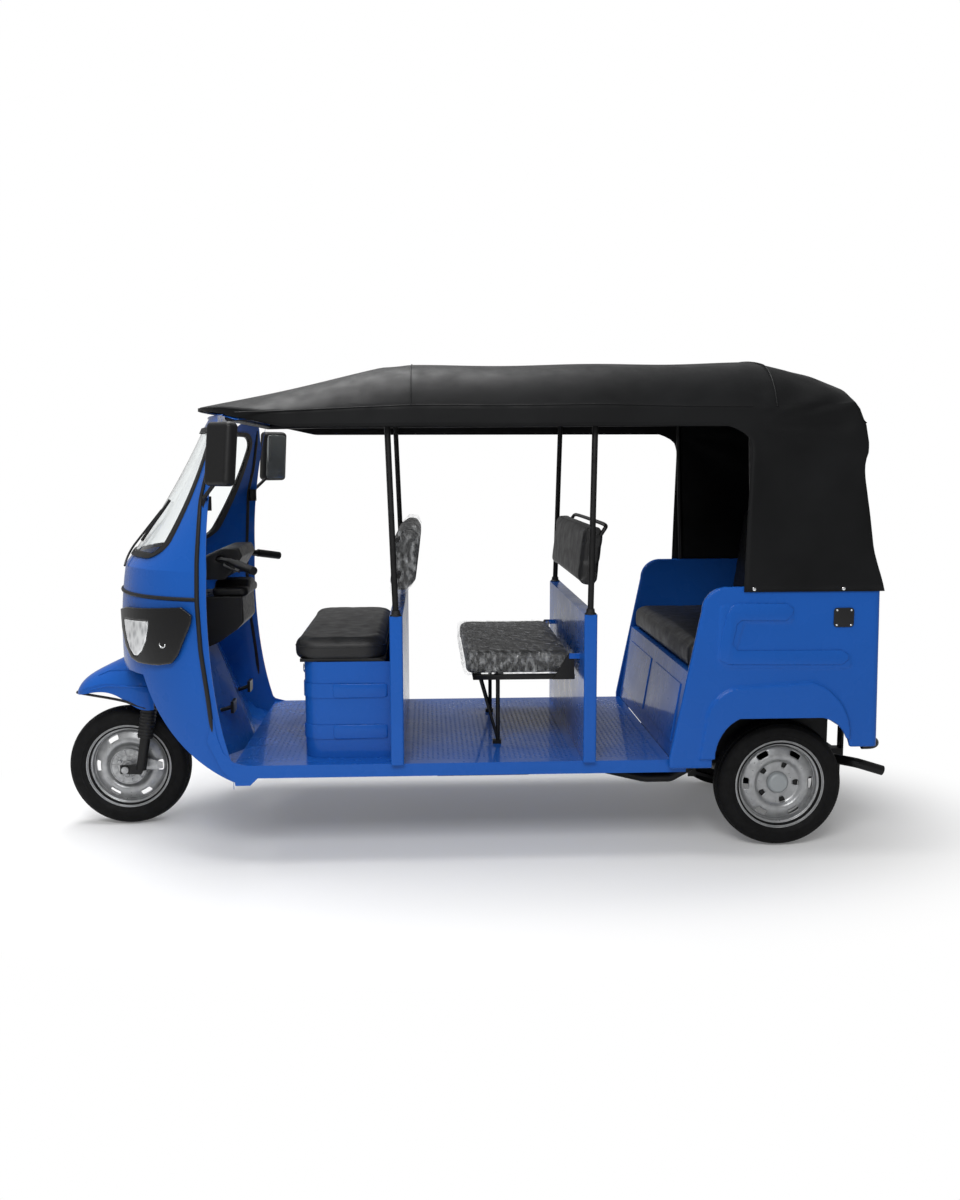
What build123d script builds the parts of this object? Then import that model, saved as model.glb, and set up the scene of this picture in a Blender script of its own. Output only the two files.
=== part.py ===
# Passenger auto rickshaw with one steered front wheel, three rows of seats and a
# soft roof. Millimetres. While it is modelled, Y is 0 at the front axle and grows
# rearward, X grows toward the vehicle's left side, and Z is 0 on the ground.
# Every sub-part is written with the origin under the middle of the vehicle's length.
from build123d import *
from functools import cache
from math import radians, tan
import os

# ---- driving dimensions -------------------------------------------------------
wheelbase = 2550.0
floor_top = 378.0            # tread plate's upper face
floor_half_width = 555.0
floor_plate = 4.0            # thickness of the tread plate
floor_front = 512.0
sill_bottom = 331.0
panel = 3.0                  # sheet steel of the cab
wall = 22.0                  # double-skinned wall of the rear body
gap = 0.3                    # seat between a soft or trimmed piece and its carrier

# the rear body stands just inside the fabric of the hood
roof_half_width = 598.0
roof_sheet = 7.0
body_half_width = roof_half_width - roof_sheet - 1.0

# wheels
tyre_radius = 243.0
tyre_width = 106.0
rim_radius = 168.5           # at the flange
rim_width = 88.0
rim_sheet = 4.0
hub_bore = 14.0
rear_track_half = 394.0      # middle of a rear wheel
running_fit = 0.05           # radial clearance of a shaft in its bore

# leaf springs
spring_x = 215.0
spring_front, spring_rear = wheelbase - 290.0, wheelbase + 290.0
spring_eye_z = 240.0
spring_low_z = 190.0
leaf_width, leaf_thickness = 40.0, 12.0

# steering
steer_rake = 20.0            # degrees from upright
steer_foot_y = 150.0         # a point of the steering axis
steer_foot_z = 600.0
steerer_radius = 16.0
head_tube_wall = 7.0
head_low = 640.0             # heights along which the head tube runs
head_high = 790.0
leg_spacing = 92.0           # half the distance between the fork legs
leg_radius = 20.0
leg_top_y, leg_top_z = 116.0, 585.0
leg_foot_y = 62.0
gaiter_radius = 30.0
gaiter_low, gaiter_high = 375.0, 520.0
axle_radius = 8.0
grip_x, grip_y, grip_z = 350.0, 572.0, 1064.0
bar_radius = 11.0
grip_radius = 16.0
grip_length = 118.0

# engine, under the driver's seat
engine_front, engine_rear = 815.0, 1040.0
engine_low, engine_high = 235.0, 600.0

# cab
cab_top = 1632.0
# height, nose, half-width and depth of the middle arc, half-width and place of the door edge
CAB_SECTIONS = [
    (290.0, 95.0, 300.0, 75.0, 555.0, 545.0),
    (450.0, 45.0, 300.0, 75.0, 555.0, 489.0),
    (650.0, 15.0, 300.0, 75.0, 555.0, 452.0),
    (850.0, 10.0, 300.0, 75.0, 555.0, 436.0),
    (1080.0, 33.0, 300.0, 75.0, 555.0, 438.0),
    (1330.0, 203.0, 360.0, 100.0, 545.0, 452.0),
    (cab_top, 374.0, 360.0, 60.0, 525.0, 508.0),
]
nose_bottom = 690.0          # lower edge of the nose, above the front mudguard
screen_low, screen_high = 1118.0, 1592.0
screen_half_low, screen_half_high = 455.0, 462.0
screen_corner = 70.0
seal_width = 18.0
seal_proud = 7.0
glass_sheet = 5.0
bezel_proud = 27.0           # how far the lamp bezels stand out

# seats and partitions
partition_half_width = 577.0
partition_top = 920.0
partition_depth = 47.0
front_partition_y = 1080.0
mid_partition_y = 1778.0
box_half_width = 460.0
box_front = 757.0
box_top = 738.0
box_sheet = 3.0
seat_pad_top = 824.0
lid_pin_y, lid_pin_z = box_front - 6.5, box_top - 8.0   # hinge along the box's front edge
seat_board = 12.0
BOX_SWAGES = [(450.0, 503.0), (604.0, 657.0)]   # lower and upper edge of each pressed band
swage_proud = 4.0
fold_front, fold_bottom, fold_top = 1343.0, 678.0, 765.0
fold_pin_y, fold_pin_z = mid_partition_y - 28.0, fold_top - 16.0
leg_pin_y, leg_pin_z = 1485.0, 641.0
fold_pin_radius = 6.0
leg_pin_radius = 7.0
bench_front_low = 2104.0     # foot of the bench's sloping riser
bench_front_high = 2158.0
bench_top = 706.0
bench_pad = 100.0
bench_depth = 425.0

front_rest_half, mid_rest_half = 430.0, 462.0
# place, height and inner end of each arm that carries a backrest
BACKREST_ARMS = [(1112.0, 1060.0, front_rest_half), (1110.0, 1190.0, front_rest_half),
                 (1818.0, 1060.0, mid_rest_half), (1824.0, 1200.0, mid_rest_half)]

# rear body
rear_body_rear = 2860.0
rear_body_lean = 10.0         # how far its rear edge leans forward at the top
rear_body_top = 1018.0
rear_body_bottom = 424.0
arch_top = 537.0
deck_z = 556.0

# roof
skirt_bottom = 1587.0
hood_bottom = 997.0
hood_front = 2350.0
hood_corner = 28.0
# station, crown height, shoulder height, edge height
ROOF_SECTIONS = [
    (330.0, 1668.0, 1644.0, 1628.0),
    (1049.0, 1828.0, 1794.0, 1655.0),
    (1162.0, 1838.0, 1806.0, 1660.0),
    (1839.0, 1843.0, 1810.0, 1663.0),
    (2448.0, 1851.0, 1816.0, 1655.0),
    (2650.0, 1800.0, 1768.0, 1628.0),
    (2738.0, 1744.0, 1710.0, 1590.0),
    (2790.0, 1655.0, 1628.0, 1535.0),
    (2862.0, 1500.0, 1480.0, 1420.0),
]
shoulder_half_width = 400.0
pole_radius = 11.0
rail_radius = 11.8
bow_radius = 11.0

# ends of the vehicle, which place the origin
tail_tip = 2968.0
middle = (tail_tip - tyre_radius) / 2


# ---- small helpers ------------------------------------------------------------
def block(x0, x1, y0, y1, z0, z1):
    """A box between two corners."""
    return Pos((x0 + x1) / 2, (y0 + y1) / 2, (z0 + z1) / 2) * Box(x1 - x0, y1 - y0, z1 - z0)


def rod(start, end, radius):
    """A round bar between two points."""
    start, end = Vector(*start), Vector(*end)
    axis = end - start
    face = Plane(origin=start, z_dir=axis) * Circle(radius)
    return extrude(face, amount=axis.length, dir=axis.normalized())


def bent_tube(points, radius, bend):
    """A round tube along straight runs joined by arcs."""
    path = FilletPolyline(*points, radius=bend)
    return sweep(Plane(origin=path @ 0, z_dir=path % 0) * Circle(radius), path=path)


def side_plate(outline, x0, x1):
    """A flat outline of (y, z) points, made thick along X."""
    face = make_face(Polyline(*[(x0, y, z) for y, z in outline], close=True))
    return extrude(face, amount=x1 - x0, dir=(1, 0, 0))


def side_prism(wire, x0, x1):
    """A closed wire drawn at X = 0 in the side view, made thick along X."""
    return Pos(x0, 0, 0) * extrude(make_face(wire), amount=x1 - x0, dir=(1, 0, 0))


def both_sides(shape):
    """A piece and its mirror image, as one group."""
    return Compound([shape, mirror(shape, about=Plane.YZ)])


def steer_point(z):
    """The place of the steering axis at a height."""
    return (0.0, steer_foot_y + (z - steer_foot_z) * tan(radians(steer_rake)), z)


# ---- cab ----------------------------------------------------------------------
def cab_section(row, grow, tail):
    """One level of the cab: a wide arc over the nose and a tangent arc to each door edge."""
    z, nose, arc_half, arc_depth, half, door = row
    front = ThreePointArc((-arc_half, nose + arc_depth - grow, z), (0, nose - grow, z),
                          (arc_half, nose + arc_depth - grow, z))
    left = TangentArc((arc_half, nose + arc_depth - grow, z), (half + grow, door, z),
                      tangent=front % 1)
    right = mirror(left, about=Plane.YZ)
    end = (half + grow, door + tail, z)
    back = Polyline((half + grow, door, z), end, (-end[0], end[1], z), (-half - grow, door, z)) \
        if tail else Line((half + grow, door, z), (-half - grow, door, z))
    return make_face(front.edges() + left.edges() + right.edges() + back.edges())


@cache
def cab_volume(grow, tail=0.0, over=0.0):
    """The cab's outside, grown or shrunk, with its back moved by tail and its ends by over."""
    low = [row for row in CAB_SECTIONS if row[0] <= 1080.0]
    high = [row for row in CAB_SECTIONS if row[0] >= 1080.0]
    low[0] = (low[0][0] - over,) + low[0][1:]
    high[-1] = (high[-1][0] + over,) + high[-1][1:]
    return loft([cab_section(row, grow, tail) for row in low]) \
        + loft([cab_section(row, grow, tail) for row in high])


def cab_skin(outside, inside):
    """A skin that follows the cab between two distances from its outside."""
    return cab_volume(outside) - cab_volume(inside, tail=60.0, over=10.0)


def screen_prism(inset):
    """The windscreen's outline in the front view, as a solid along Y."""
    low, high = screen_half_low - inset, screen_half_high - inset
    points = [(-low, screen_low + inset), (low, screen_low + inset),
              (high, screen_high - inset), (-high, screen_high - inset)]
    face = make_face(Polyline(*[(x, -60, z) for x, z in points], close=True))
    face = fillet(face.vertices(), screen_corner - inset)
    return extrude(face, amount=700, dir=(0, 1, 0))


def wheel_opening(grow=0.0):
    """The space cut out of the cab's lower front, for the steered wheel."""
    high, low, back = nose_bottom + grow, 318 + grow, 168 + grow
    wire = Polyline((0, 510, low), (0, 510, 200), (0, -200, 200), (0, -200, high), (0, back, high)).edges() \
        + ThreePointArc((0, back, high), (0, 285 + 0.64 * grow, 480 + 0.77 * grow), (0, 510, low)).edges()
    return side_prism(wire, -700, 700)


def cab_shell():
    """Nose, lower side panels, windscreen pillars and header, in one pressed skin."""
    skin = cab_skin(0, -panel)
    header = cab_volume(0) & block(-600, 600, 300, 600, cab_top - panel, cab_top)
    sill_seat = block(-600, 600, floor_front - gap, 600, 200, floor_top + gap)
    return skin + header - screen_prism(0) - wheel_opening() - sill_seat


def windscreen_glass():
    return cab_skin(-1, -1 - glass_sheet) & screen_prism(seal_width + gap)


def windscreen_seal():
    return (cab_skin(seal_proud, -8) & screen_prism(gap)) - screen_prism(seal_width)


def bulkhead_level(z):
    """Where the toe board's ridge and its side edges (600 mm out) lie at a height."""
    share = (z - sill_bottom) / (745.0 - sill_bottom)
    return 510.0 - 153.0 * share, 400.0 - 185.0 * share


def front_bulkhead():
    """Toe board with a middle ridge, between the dash and the floor."""
    def level(z):
        ridge, side = bulkhead_level(z)
        outer = [(-600, side), (0, ridge), (600, side)]
        inner = [(600, side - 4), (0, ridge - 4), (-600, side - 4)]
        return make_face(Polyline(*[(x, y, z) for x, y in outer + inner], close=True))
    def cabin(z):
        ridge, side = bulkhead_level(z)
        return make_face(Polyline((-600, side - 4, z), (0, ridge - 4, z), (600, side - 4, z), (600, 900, z),
                                  (-600, 900, z), close=True))
    plate = loft([level(sill_bottom), level(745)], ruled=True) - wheel_opening()
    # below, the wheel's arch closes the corners between the board and the floor
    arch = (wheel_opening(panel) - wheel_opening()) & loft([cabin(sill_bottom), cabin(745)], ruled=True)
    arch &= block(-600, 600, 200, floor_front - gap, sill_bottom, 500)
    return (plate + arch) & cab_volume(-panel - gap, tail=60)


def lamp_wire(points):
    return Polyline(*[(0, y, z) for y, z in points], close=True)


def headlamp_bezels():
    outline = lamp_wire([(66, 922), (74, 850), (92, 790), (119, 749), (154, 737), (241, 738), (300, 750),
                         (326, 781), (380, 899), (384, 928), (345, 956), (102, 935)])
    shell = cab_skin(bezel_proud, gap) & side_prism(outline.edges(), 120, 600)
    return both_sides(shell - lens_prism(0))


def lens_prism(inset):
    """The window for a lens, drawn in towards its middle by an inset."""
    middle_y, middle_z, reach = 152.0, 834.0, 60.0
    size = 1 - inset / reach
    outline = lamp_wire([(middle_y + (y - middle_y) * size, middle_z + (z - middle_z) * size)
                         for y, z in [(90, 890), (96, 852), (105, 815), (118, 785), (138, 763),
                                      (154, 763), (178, 786), (196, 822), (206, 862), (210, 897)]])
    return side_prism(outline.edges(), 150, 600)


def headlamp_lenses():
    return both_sides(cab_skin(bezel_proud + 3, 2) & lens_prism(gap))


def front_mudguard():
    """Beak over the front wheel: an arched hood that narrows to its tip."""
    # station, crown height, lower edge, half-width
    under_nose = nose_bottom + 1
    rows = [(-196, 558, 545, 30), (-150, 614, 551, 82), (-50, 668, 560, 112), (0, under_nose, 545, 132),
            (135, under_nose, 498, 146)]

    def arch(y, crown, low, half, inset):
        top = ThreePointArc((half - inset, y, low + (crown - low) * 0.35),
                            (0, y, crown - inset), (-half + inset, y, low + (crown - low) * 0.35))
        sides = Polyline((-half + inset, y, low + (crown - low) * 0.35), (-half + inset, y, low - inset),
                         (half - inset, y, low - inset), (half - inset, y, low + (crown - low) * 0.35))
        return make_face(top.edges() + sides.edges())
    outer = loft([arch(*row, 0) for row in rows])
    inner = loft([arch(y + (panel if y < -190 else 0), c, l, h, panel) for y, c, l, h in rows])
    below_nose = block(-200, 200, -300, 200, 400, nose_bottom - gap)
    return (outer - inner - Pos(0, 0, -4) * inner) & below_nose


# ---- wheels -------------------------------------------------------------------
def ring(points):
    """A closed outline of (x, radius) points, turned about the wheel's axle."""
    face = make_face(Polyline(*[(x, 0, r) for x, r in points], close=True))
    return revolve(face, Axis.X)


def tyre():
    half, crown = tyre_width / 2, tyre_radius
    bead = rim_width / 2 - rim_sheet - gap
    seat = rim_radius - 14 + gap
    left = ThreePointArc((-bead, 0, rim_radius), (-half, 0, rim_radius + 34), (-half + 10, 0, crown - 11))
    tread = ThreePointArc((-half + 10, 0, crown - 11), (0, 0, crown), (half - 10, 0, crown - 11))
    right = ThreePointArc((half - 10, 0, crown - 11), (half, 0, rim_radius + 34), (bead, 0, rim_radius))
    inner = Polyline((bead, 0, rim_radius), (bead, 0, seat), (-bead, 0, seat), (-bead, 0, rim_radius))
    face = make_face(left.edges() + tread.edges() + right.edges() + inner.edges())
    return revolve(face, Axis.X)


def rim():
    """Pressed steel wheel with a dished disc, its outer face toward +X."""
    half, seat = rim_width / 2, rim_radius - 14
    barrel = [(-half, rim_radius), (-half + rim_sheet, rim_radius), (-half + rim_sheet, seat),
              (half - rim_sheet, seat), (half - rim_sheet, rim_radius), (half, rim_radius),
              (half, seat - rim_sheet), (-half, seat - rim_sheet)]
    disc = [(6, seat - 1), (12, seat - 1), (30, 118), (30, 100), (14, 78), (14, hub_bore),
            (8, hub_bore), (8, 80), (24, 102), (24, 116)]
    wheel = ring(barrel) + ring(disc)
    slot = Pos(20, 0, 128) * Rot(0, 90, 0) * extrude(SlotOverall(44, 14, rotation=90), 60, both=True)
    for turn in range(0, 360, 60):
        wheel -= Rot(turn, 0, 0) * slot
    return wheel


def front_hub():
    """Cast hub and brake drum between the fork's arms."""
    return ring([(-34, hub_bore), (-34, 40), (-20, 40), (-20, 70), (38, 70), (38, 64), (-14, 64), (-14, 30),
                 (36, 30),
                 (36, hub_bore)])


def at_front(shape):
    return Pos(0, 0, tyre_radius) * shape


def at_rear(shape):
    return Pos(rear_track_half, wheelbase, tyre_radius) * shape


def rear_hub():
    """Brake drum behind the rear wheel's disc, with the round centre cap in front of it."""
    drum = ring([(-34, hub_bore), (-34, 82), (9, 82), (9, hub_bore)])
    cap = ring([(13, 15), (13, 34), (30, 30), (34, 0), (30, 0), (26, 15)])
    return drum + cap


# ---- steering -----------------------------------------------------------------
def leg_place(x, z):
    share = (z - tyre_radius) / (leg_top_z - tyre_radius)
    return (x, leg_foot_y + share * (leg_top_y - leg_foot_y), z)


def fork():
    """Steerer, yoke, two legs and the arms that reach forward to the axle."""
    top, low = steer_point(1020), steer_point(585)
    steerer = rod(low, top, steerer_radius)
    yoke = block(-leg_spacing - 21, leg_spacing + 21, 94, 172, 578, 600)
    yoke = fillet(yoke.edges().filter_by(Axis.Z), 20)
    shape = steerer + yoke
    for side in (-1, 1):
        x = side * leg_spacing
        shape += rod((x, leg_foot_y, tyre_radius), (x, leg_top_y, leg_top_z), leg_radius)
        arm = side_plate([(-20, tyre_radius - 16), (leg_foot_y, tyre_radius - 20),
                          (leg_foot_y + 16, tyre_radius + 20), (-20, tyre_radius + 18)], x - 7, x + 7)
        shape += arm
        shape += rod(leg_place(x, gaiter_low), leg_place(x, gaiter_high), gaiter_radius)
    return shape - rod((-200, 0, tyre_radius), (200, 0, tyre_radius), axle_radius + gap)


def front_axle():
    """Spindle with its nuts, and the brake plate that the fork holds still."""
    spindle = rod((-leg_spacing - 16, 0, tyre_radius), (leg_spacing + 16, 0, tyre_radius), axle_radius)
    hub = rod((-40, 0, tyre_radius), (40, 0, tyre_radius), hub_bore - running_fit)
    collar = rod((-leg_spacing + 7.3, 0, tyre_radius), (-35, 0, tyre_radius), 14) \
        + rod((40, 0, tyre_radius), (leg_spacing - 7.3, 0, tyre_radius), 14)
    plate = rod((40, 0, tyre_radius), (44, 0, tyre_radius), 72)
    nuts = rod((leg_spacing + 7.3, 0, tyre_radius), (leg_spacing + 15, 0, tyre_radius), 14) \
        + rod((-leg_spacing - 15, 0, tyre_radius), (-leg_spacing - 7.3, 0, tyre_radius), 14)
    return spindle + hub + collar + plate + nuts


def grips():
    end, back = Vector(grip_x, grip_y, grip_z), Vector(230, 468, 1090)
    start = end - (end - back).normalized() * grip_length
    return both_sides(rod(tuple(start), tuple(end), grip_radius))


def bar_tube(radius):
    """The bar: clamped over the steerer, swept out and back to the grips."""
    clamp_y = steer_point(1040)[1]
    half = [(130.0, clamp_y + 78, 1094.0), (230.0, 468.0, 1090.0), (grip_x, grip_y, grip_z)]
    return bent_tube([(-x, y, z) for x, y, z in reversed(half)] + half, radius, 60)


def bar_clamp(grow):
    clamp_y = steer_point(1040)[1]
    return block(-24 - grow, 24 + grow, clamp_y - 22 - grow, clamp_y + 92 + grow, 1000 - grow, 1062 + grow) \
        + block(-20 - grow, 20 + grow, clamp_y + 55 - grow, clamp_y + 95 + grow, 1050, 1106 + grow)


def handlebar():
    """Bar with its grips and the clamp on the steerer's top."""
    steerer = rod(steer_point(900), steer_point(1100), steerer_radius + gap)
    return bar_tube(bar_radius) + bar_clamp(0) + grips() - steerer


def handlebar_cowl():
    """Plastic nacelle over the middle of the bar, with the instruments on its top."""
    y = steer_point(1040)[1]
    outline = [(y - 10, 1046), (y + 30, 1100), (y + 110, 1136), (y + 176, 1138), (y + 190, 1104),
               (y + 150, 1040),
               (y + 120, 1012), (y + 20, 1010)]
    shape = fillet(side_plate(outline, -165, 165).edges().filter_by(Axis.X), 9)
    hollow = side_plate([(y - 2, 1046), (y + 34, 1094), (y + 112, 1130), (y + 172, 1131), (y + 182, 1104),
                         (y + 145, 1044), (y + 117, 1000), (y + 20, 1000)], -159, 159)
    return shape - hollow - bar_tube(bar_radius + 1) - bar_clamp(1)


# ---- frame --------------------------------------------------------------------
def chassis_frame():
    """Two long rails with cross-members, the raked neck and the head tube."""
    low, high = 288.0, sill_bottom - 4
    shape = block(-240, -190, 455, 2860, low, high) + block(190, 240, 455, 2860, low, high)
    for y in (455, 1085, 1790, 2120, 2800):
        shape += block(-240, 240, y, y + 42, low + 2, high - 2)
    for y in (640, 1085, 1790):
        outrigger = floor_half_width - 30 - gap
        shape += block(-outrigger, outrigger, y, y + 30, high - 5,
                       floor_top - floor_plate - gap)
    ridge_low, ridge_high = bulkhead_level(high)[0] - 11.5, bulkhead_level(705)[0] - 11.5
    neck = [(455, low), (ridge_low, low), (ridge_low, high), (ridge_high, 705), (262, 800), (195, 765),
            (300, 670)]
    shape += side_plate(neck, -28, 28)
    bottom, top = steer_point(head_low), steer_point(head_high)
    shape += rod(bottom, top, steerer_radius + running_fit + head_tube_wall)
    shape -= rod(steer_point(500), steer_point(1000), steerer_radius + running_fit)
    for side in (-1, 1):
        for y in (spring_front, spring_rear):
            for x in (side * spring_x - 26, side * spring_x + 20 + gap):
                shape += block(x, x + 6 - gap, y - 16, y + 16, spring_eye_z - 18, high)
    return shape


def engine():
    """Engine and gearbox under the driver's seat, hung between the rails."""
    x = 190 - gap
    return block(-170, 170, engine_front, engine_rear, engine_low, engine_high) \
        + block(-x, x, 880, 940, 292, 322)


def rear_axle():
    """Axle tube, differential, propeller shaft, brake plates and the spindles in the wheels."""
    x_plate = rear_track_half - 36
    shape = rod((-x_plate, wheelbase, tyre_radius), (x_plate, wheelbase, tyre_radius), 32)
    shape += Pos(0, wheelbase, tyre_radius) * Sphere(96)
    shape += rod((0, engine_rear + 0.6, 262), (0, wheelbase - 90, tyre_radius), 24)
    for side in (-1, 1):
        shape += rod((side * (x_plate - 6), wheelbase, tyre_radius),
                     (side * x_plate, wheelbase, tyre_radius), 88)
        shape += rod((side * x_plate, wheelbase, tyre_radius),
                     (side * (rear_track_half + 14), wheelbase, tyre_radius), hub_bore - running_fit)
        seat = spring_low_z + leaf_thickness / 2 + 1.5
        shape += block(side * spring_x - 30, side * spring_x + 30, wheelbase - 45, wheelbase + 45,
                       seat, tyre_radius - 25)
    return shape


def leaf_springs():
    """A stack of leaves under each end of the axle, up to its hangers on the rails."""
    stacks = []
    for side in (-1, 1):
        x = side * spring_x
        arc = ThreePointArc((x, spring_front, spring_eye_z), (x, wheelbase, spring_low_z),
                            (x, spring_rear, spring_eye_z))
        start = Plane(origin=arc @ 0, x_dir=(1, 0, 0), z_dir=arc % 0)
        stack = sweep(start * Rectangle(leaf_width, leaf_thickness), path=arc)
        for y in (spring_front, spring_rear):
            stack += rod((x - leaf_width / 2, y, spring_eye_z), (x + leaf_width / 2, y, spring_eye_z), 14)
        stacks.append(stack)
    return Compound(stacks)


def exhaust():
    """Silencer under the floor and its tail pipe inside the left rear wheel."""
    can = rod((100, 1250, 242), (100, 1620, 242), 42)
    run = bent_tube([(100, 1600, 242), (100, 1850, 240), (290, 2060, 236), (290, 2160, 236), (290, 2290, 306),
                     (290, 2780, 306), (400, 2860, 312), (400, tail_tip - 6, 280)], 19, 40)
    hanger = block(94, 106, 1796, 1816, 245, 290 - gap)
    return can + run + hanger


def floor_pan():
    """Tread plate floor with folded sills and a jacking foot on each side."""
    rear = bench_front_low
    shape = block(-floor_half_width + panel, floor_half_width - panel, floor_front, rear,
                  floor_top - floor_plate,
                  floor_top)
    for side in (-1, 1):
        x0, x1 = sorted((side * (floor_half_width - panel), side * floor_half_width))
        shape += block(x0, x1, floor_front, 2160, sill_bottom, floor_top)
        shape += side_plate([(floor_front, 345), (floor_front + 5, 304), (570, 304), (602, 335)], x0, x1)
        lip0, lip1 = sorted((side * (floor_half_width - 30), side * floor_half_width))
        shape += block(lip0, lip1, 602, 2160, sill_bottom, sill_bottom + 3)
    engine_hole = block(-200, 200, engine_front - 15, engine_rear + 15, 360, 400)
    return shape - engine_hole


# ---- seats and partitions -----------------------------------------------------
def partition(y):
    """Hollow pressed partition across the floor."""
    shape = block(-partition_half_width, partition_half_width, y, y + partition_depth,
                  floor_top + gap, partition_top)
    shape = fillet(shape.edges().filter_by(Axis.Z), 8)
    return shape - block(-partition_half_width + 3, partition_half_width - 3, y + 3, y + partition_depth - 3,
                         floor_top - 5, partition_top - 3)


def mid_partition():
    """The partition behind the middle row, with the ears and pins of the folding seat."""
    shape = partition(mid_partition_y)
    for side in (-1, 1):
        x0, x1 = sorted((side * (442 + gap), side * 450))
        shape += block(x0, x1, fold_pin_y - 10, mid_partition_y + 1, fold_pin_z - 10, fold_pin_z + 10)
        shape += rod((side * 436, fold_pin_y, fold_pin_z), (side * 450, fold_pin_y, fold_pin_z),
                     fold_pin_radius)
    return shape


def seat_box():
    """Open-topped box under the driver's seat, with its round lock on the front."""
    shape = block(-box_half_width, box_half_width, box_front, front_partition_y - gap, floor_top + gap,
                  box_top)
    shape = fillet(shape.edges().filter_by(Axis.Z).group_by(Axis.Y)[0], 70)
    inner = block(-box_half_width + box_sheet, box_half_width - box_sheet, box_front + box_sheet,
                  front_partition_y - box_sheet, floor_top - 5, box_top + 5)
    inner = fillet(inner.edges().filter_by(Axis.Z).group_by(Axis.Y)[0], 67)
    shape -= inner
    for x in (-300, 220):
        shape += rod((x, lid_pin_y, lid_pin_z), (x + 40, lid_pin_y, lid_pin_z), 6)
        shape += block(x, x + 40, lid_pin_y, box_front + 1, lid_pin_z - 4, lid_pin_z + 4)
    for low, high in BOX_SWAGES:
        swage = block(-box_half_width - swage_proud, box_half_width + swage_proud, box_front - swage_proud,
                      1052, low, high)
        swage = fillet(swage.edges().filter_by(Axis.Z).group_by(Axis.Y)[0], 75)
        shape += swage - inner
    return shape + rod((300, box_front - 12, 690), (300, box_front + 1, 690), 14)


def driver_cushion():
    """Padded lid of the seat box on its board, hinged at the front."""
    y0, y1 = box_front - 44, front_partition_y - 8
    board = block(-box_half_width - 6, box_half_width + 6, y0 + 22, y1, box_top + gap, box_top + seat_board)
    outline = [(y0, box_top + 30), (y0 + 8, box_top + seat_board), (y1, box_top + seat_board),
               (y1, seat_pad_top), (y0 + 45, seat_pad_top), (y0, box_top + 62)]
    pad = side_plate(outline, -box_half_width - 14, box_half_width + 14)
    pad = fillet(pad.edges().filter_by(Axis.Z), 60)
    for x in (-259.5, 180.5):
        knuckle = rod((x, lid_pin_y, lid_pin_z), (x + 39, lid_pin_y, lid_pin_z), 6)
        leaf = block(x, x + 39, lid_pin_y - 6, lid_pin_y - 3, lid_pin_z, box_top + 4)
        board += knuckle + leaf
    return board + pad


def front_backrest():
    """Driver's backrest: a pad behind a bent handle tube between the poles."""
    pad = side_plate([(1078, 988), (1134, 984), (1166, 1022), (1190, 1200), (1176, 1232), (1138, 1236),
                      (1104, 1200)],
                     -front_rest_half, front_rest_half)
    return fillet(pad.edges().filter_by(Axis.X), 8)


def mid_backrest():
    pad = side_plate([(1772, 1016), (1786, 1004), (1834, 1002), (1862, 1216), (1852, 1240), (1800, 1238)],
                     -mid_rest_half, mid_rest_half)
    return fillet(pad.edges().filter_by(Axis.X), 8)



def folding_seat():
    """Cushion of the middle row on its steel frame, with arms to the hinge on the partition."""
    rear = mid_partition_y - 12
    under = fold_bottom - 18
    pad = fillet(block(-430, 430, fold_front, rear, fold_bottom, fold_top).edges(), 14)
    frame = block(-436, 436, fold_front + 40, rear - 3, under, fold_bottom - gap) \
        - block(-412, 412, fold_front + 64, rear - 27, 600, 700)
    frame += block(-412, 412, leg_pin_y - 14, leg_pin_y + 14, under, fold_bottom - gap)
    for x in (-442, 436):
        frame += side_plate([(fold_pin_y - 70, under), (fold_pin_y + 10, under),
                             (fold_pin_y + 10, fold_pin_z + 10),
                             (fold_pin_y - 12, fold_pin_z + 10)], x, x + 6)
    for x in (-260, 248):
        frame += block(x, x + 12, leg_pin_y - 12, leg_pin_y + 12, leg_pin_z - 13, under)
    frame -= rod((-500, fold_pin_y, fold_pin_z), (500, fold_pin_y, fold_pin_z), fold_pin_radius + running_fit)
    frame -= rod((-300, leg_pin_y, leg_pin_z), (300, leg_pin_y, leg_pin_z), leg_pin_radius + running_fit)
    return Compound([pad, frame])


def folding_leg():
    """V-shaped legs of the folding seat, joined by a cross rod at the pivot."""
    foot_z = floor_top + 14
    shape = rod((-284, leg_pin_y, leg_pin_z), (284, leg_pin_y, leg_pin_z), leg_pin_radius)
    for x in (-275, 275):
        shape += rod((x, leg_pin_y, foot_z - 6), (x, leg_pin_y, leg_pin_z), 8)
        shape += rod((x, leg_pin_y, foot_z), (x, leg_pin_y - 70, leg_pin_z - 2), 6)
        shape += block(x - 14, x + 14, leg_pin_y - 20, leg_pin_y + 12, floor_top + 0.6, foot_z)
    return shape


def bench_riser():
    """Sloping front, top and back of the rear bench's box."""
    rear = bench_front_high + bench_depth + 117
    outline = [(bench_front_low + 2, floor_top + gap), (bench_front_low + 8, floor_top + gap),
               (bench_front_high + 6, bench_top - 3), (rear - 3, bench_top - 3), (rear - 3, deck_z + 3 + gap),
               (rear, deck_z + 3 + gap), (rear, bench_top), (bench_front_high, bench_top)]
    shape = side_plate(outline, -body_half_width + wall + gap, body_half_width - wall - gap)
    slope = (bench_front_high - bench_front_low - 2) / (bench_top - floor_top)
    low, high = 435.0, 650.0
    low_y, high_y = [bench_front_low + 2 + slope * (z - floor_top) for z in (low, high)]
    raised = [(low_y - swage_proud, low), (low_y + 2, low), (high_y + 2, high), (high_y - swage_proud, high)]
    return shape + both_sides(side_plate(raised, 40, 500))


def bench_cushion():
    y0 = bench_front_high - 4
    pad = block(-552, 552, y0, bench_front_high + bench_depth, bench_top + gap, bench_top + bench_pad + 6)
    return fillet(pad.edges(), 18)


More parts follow.
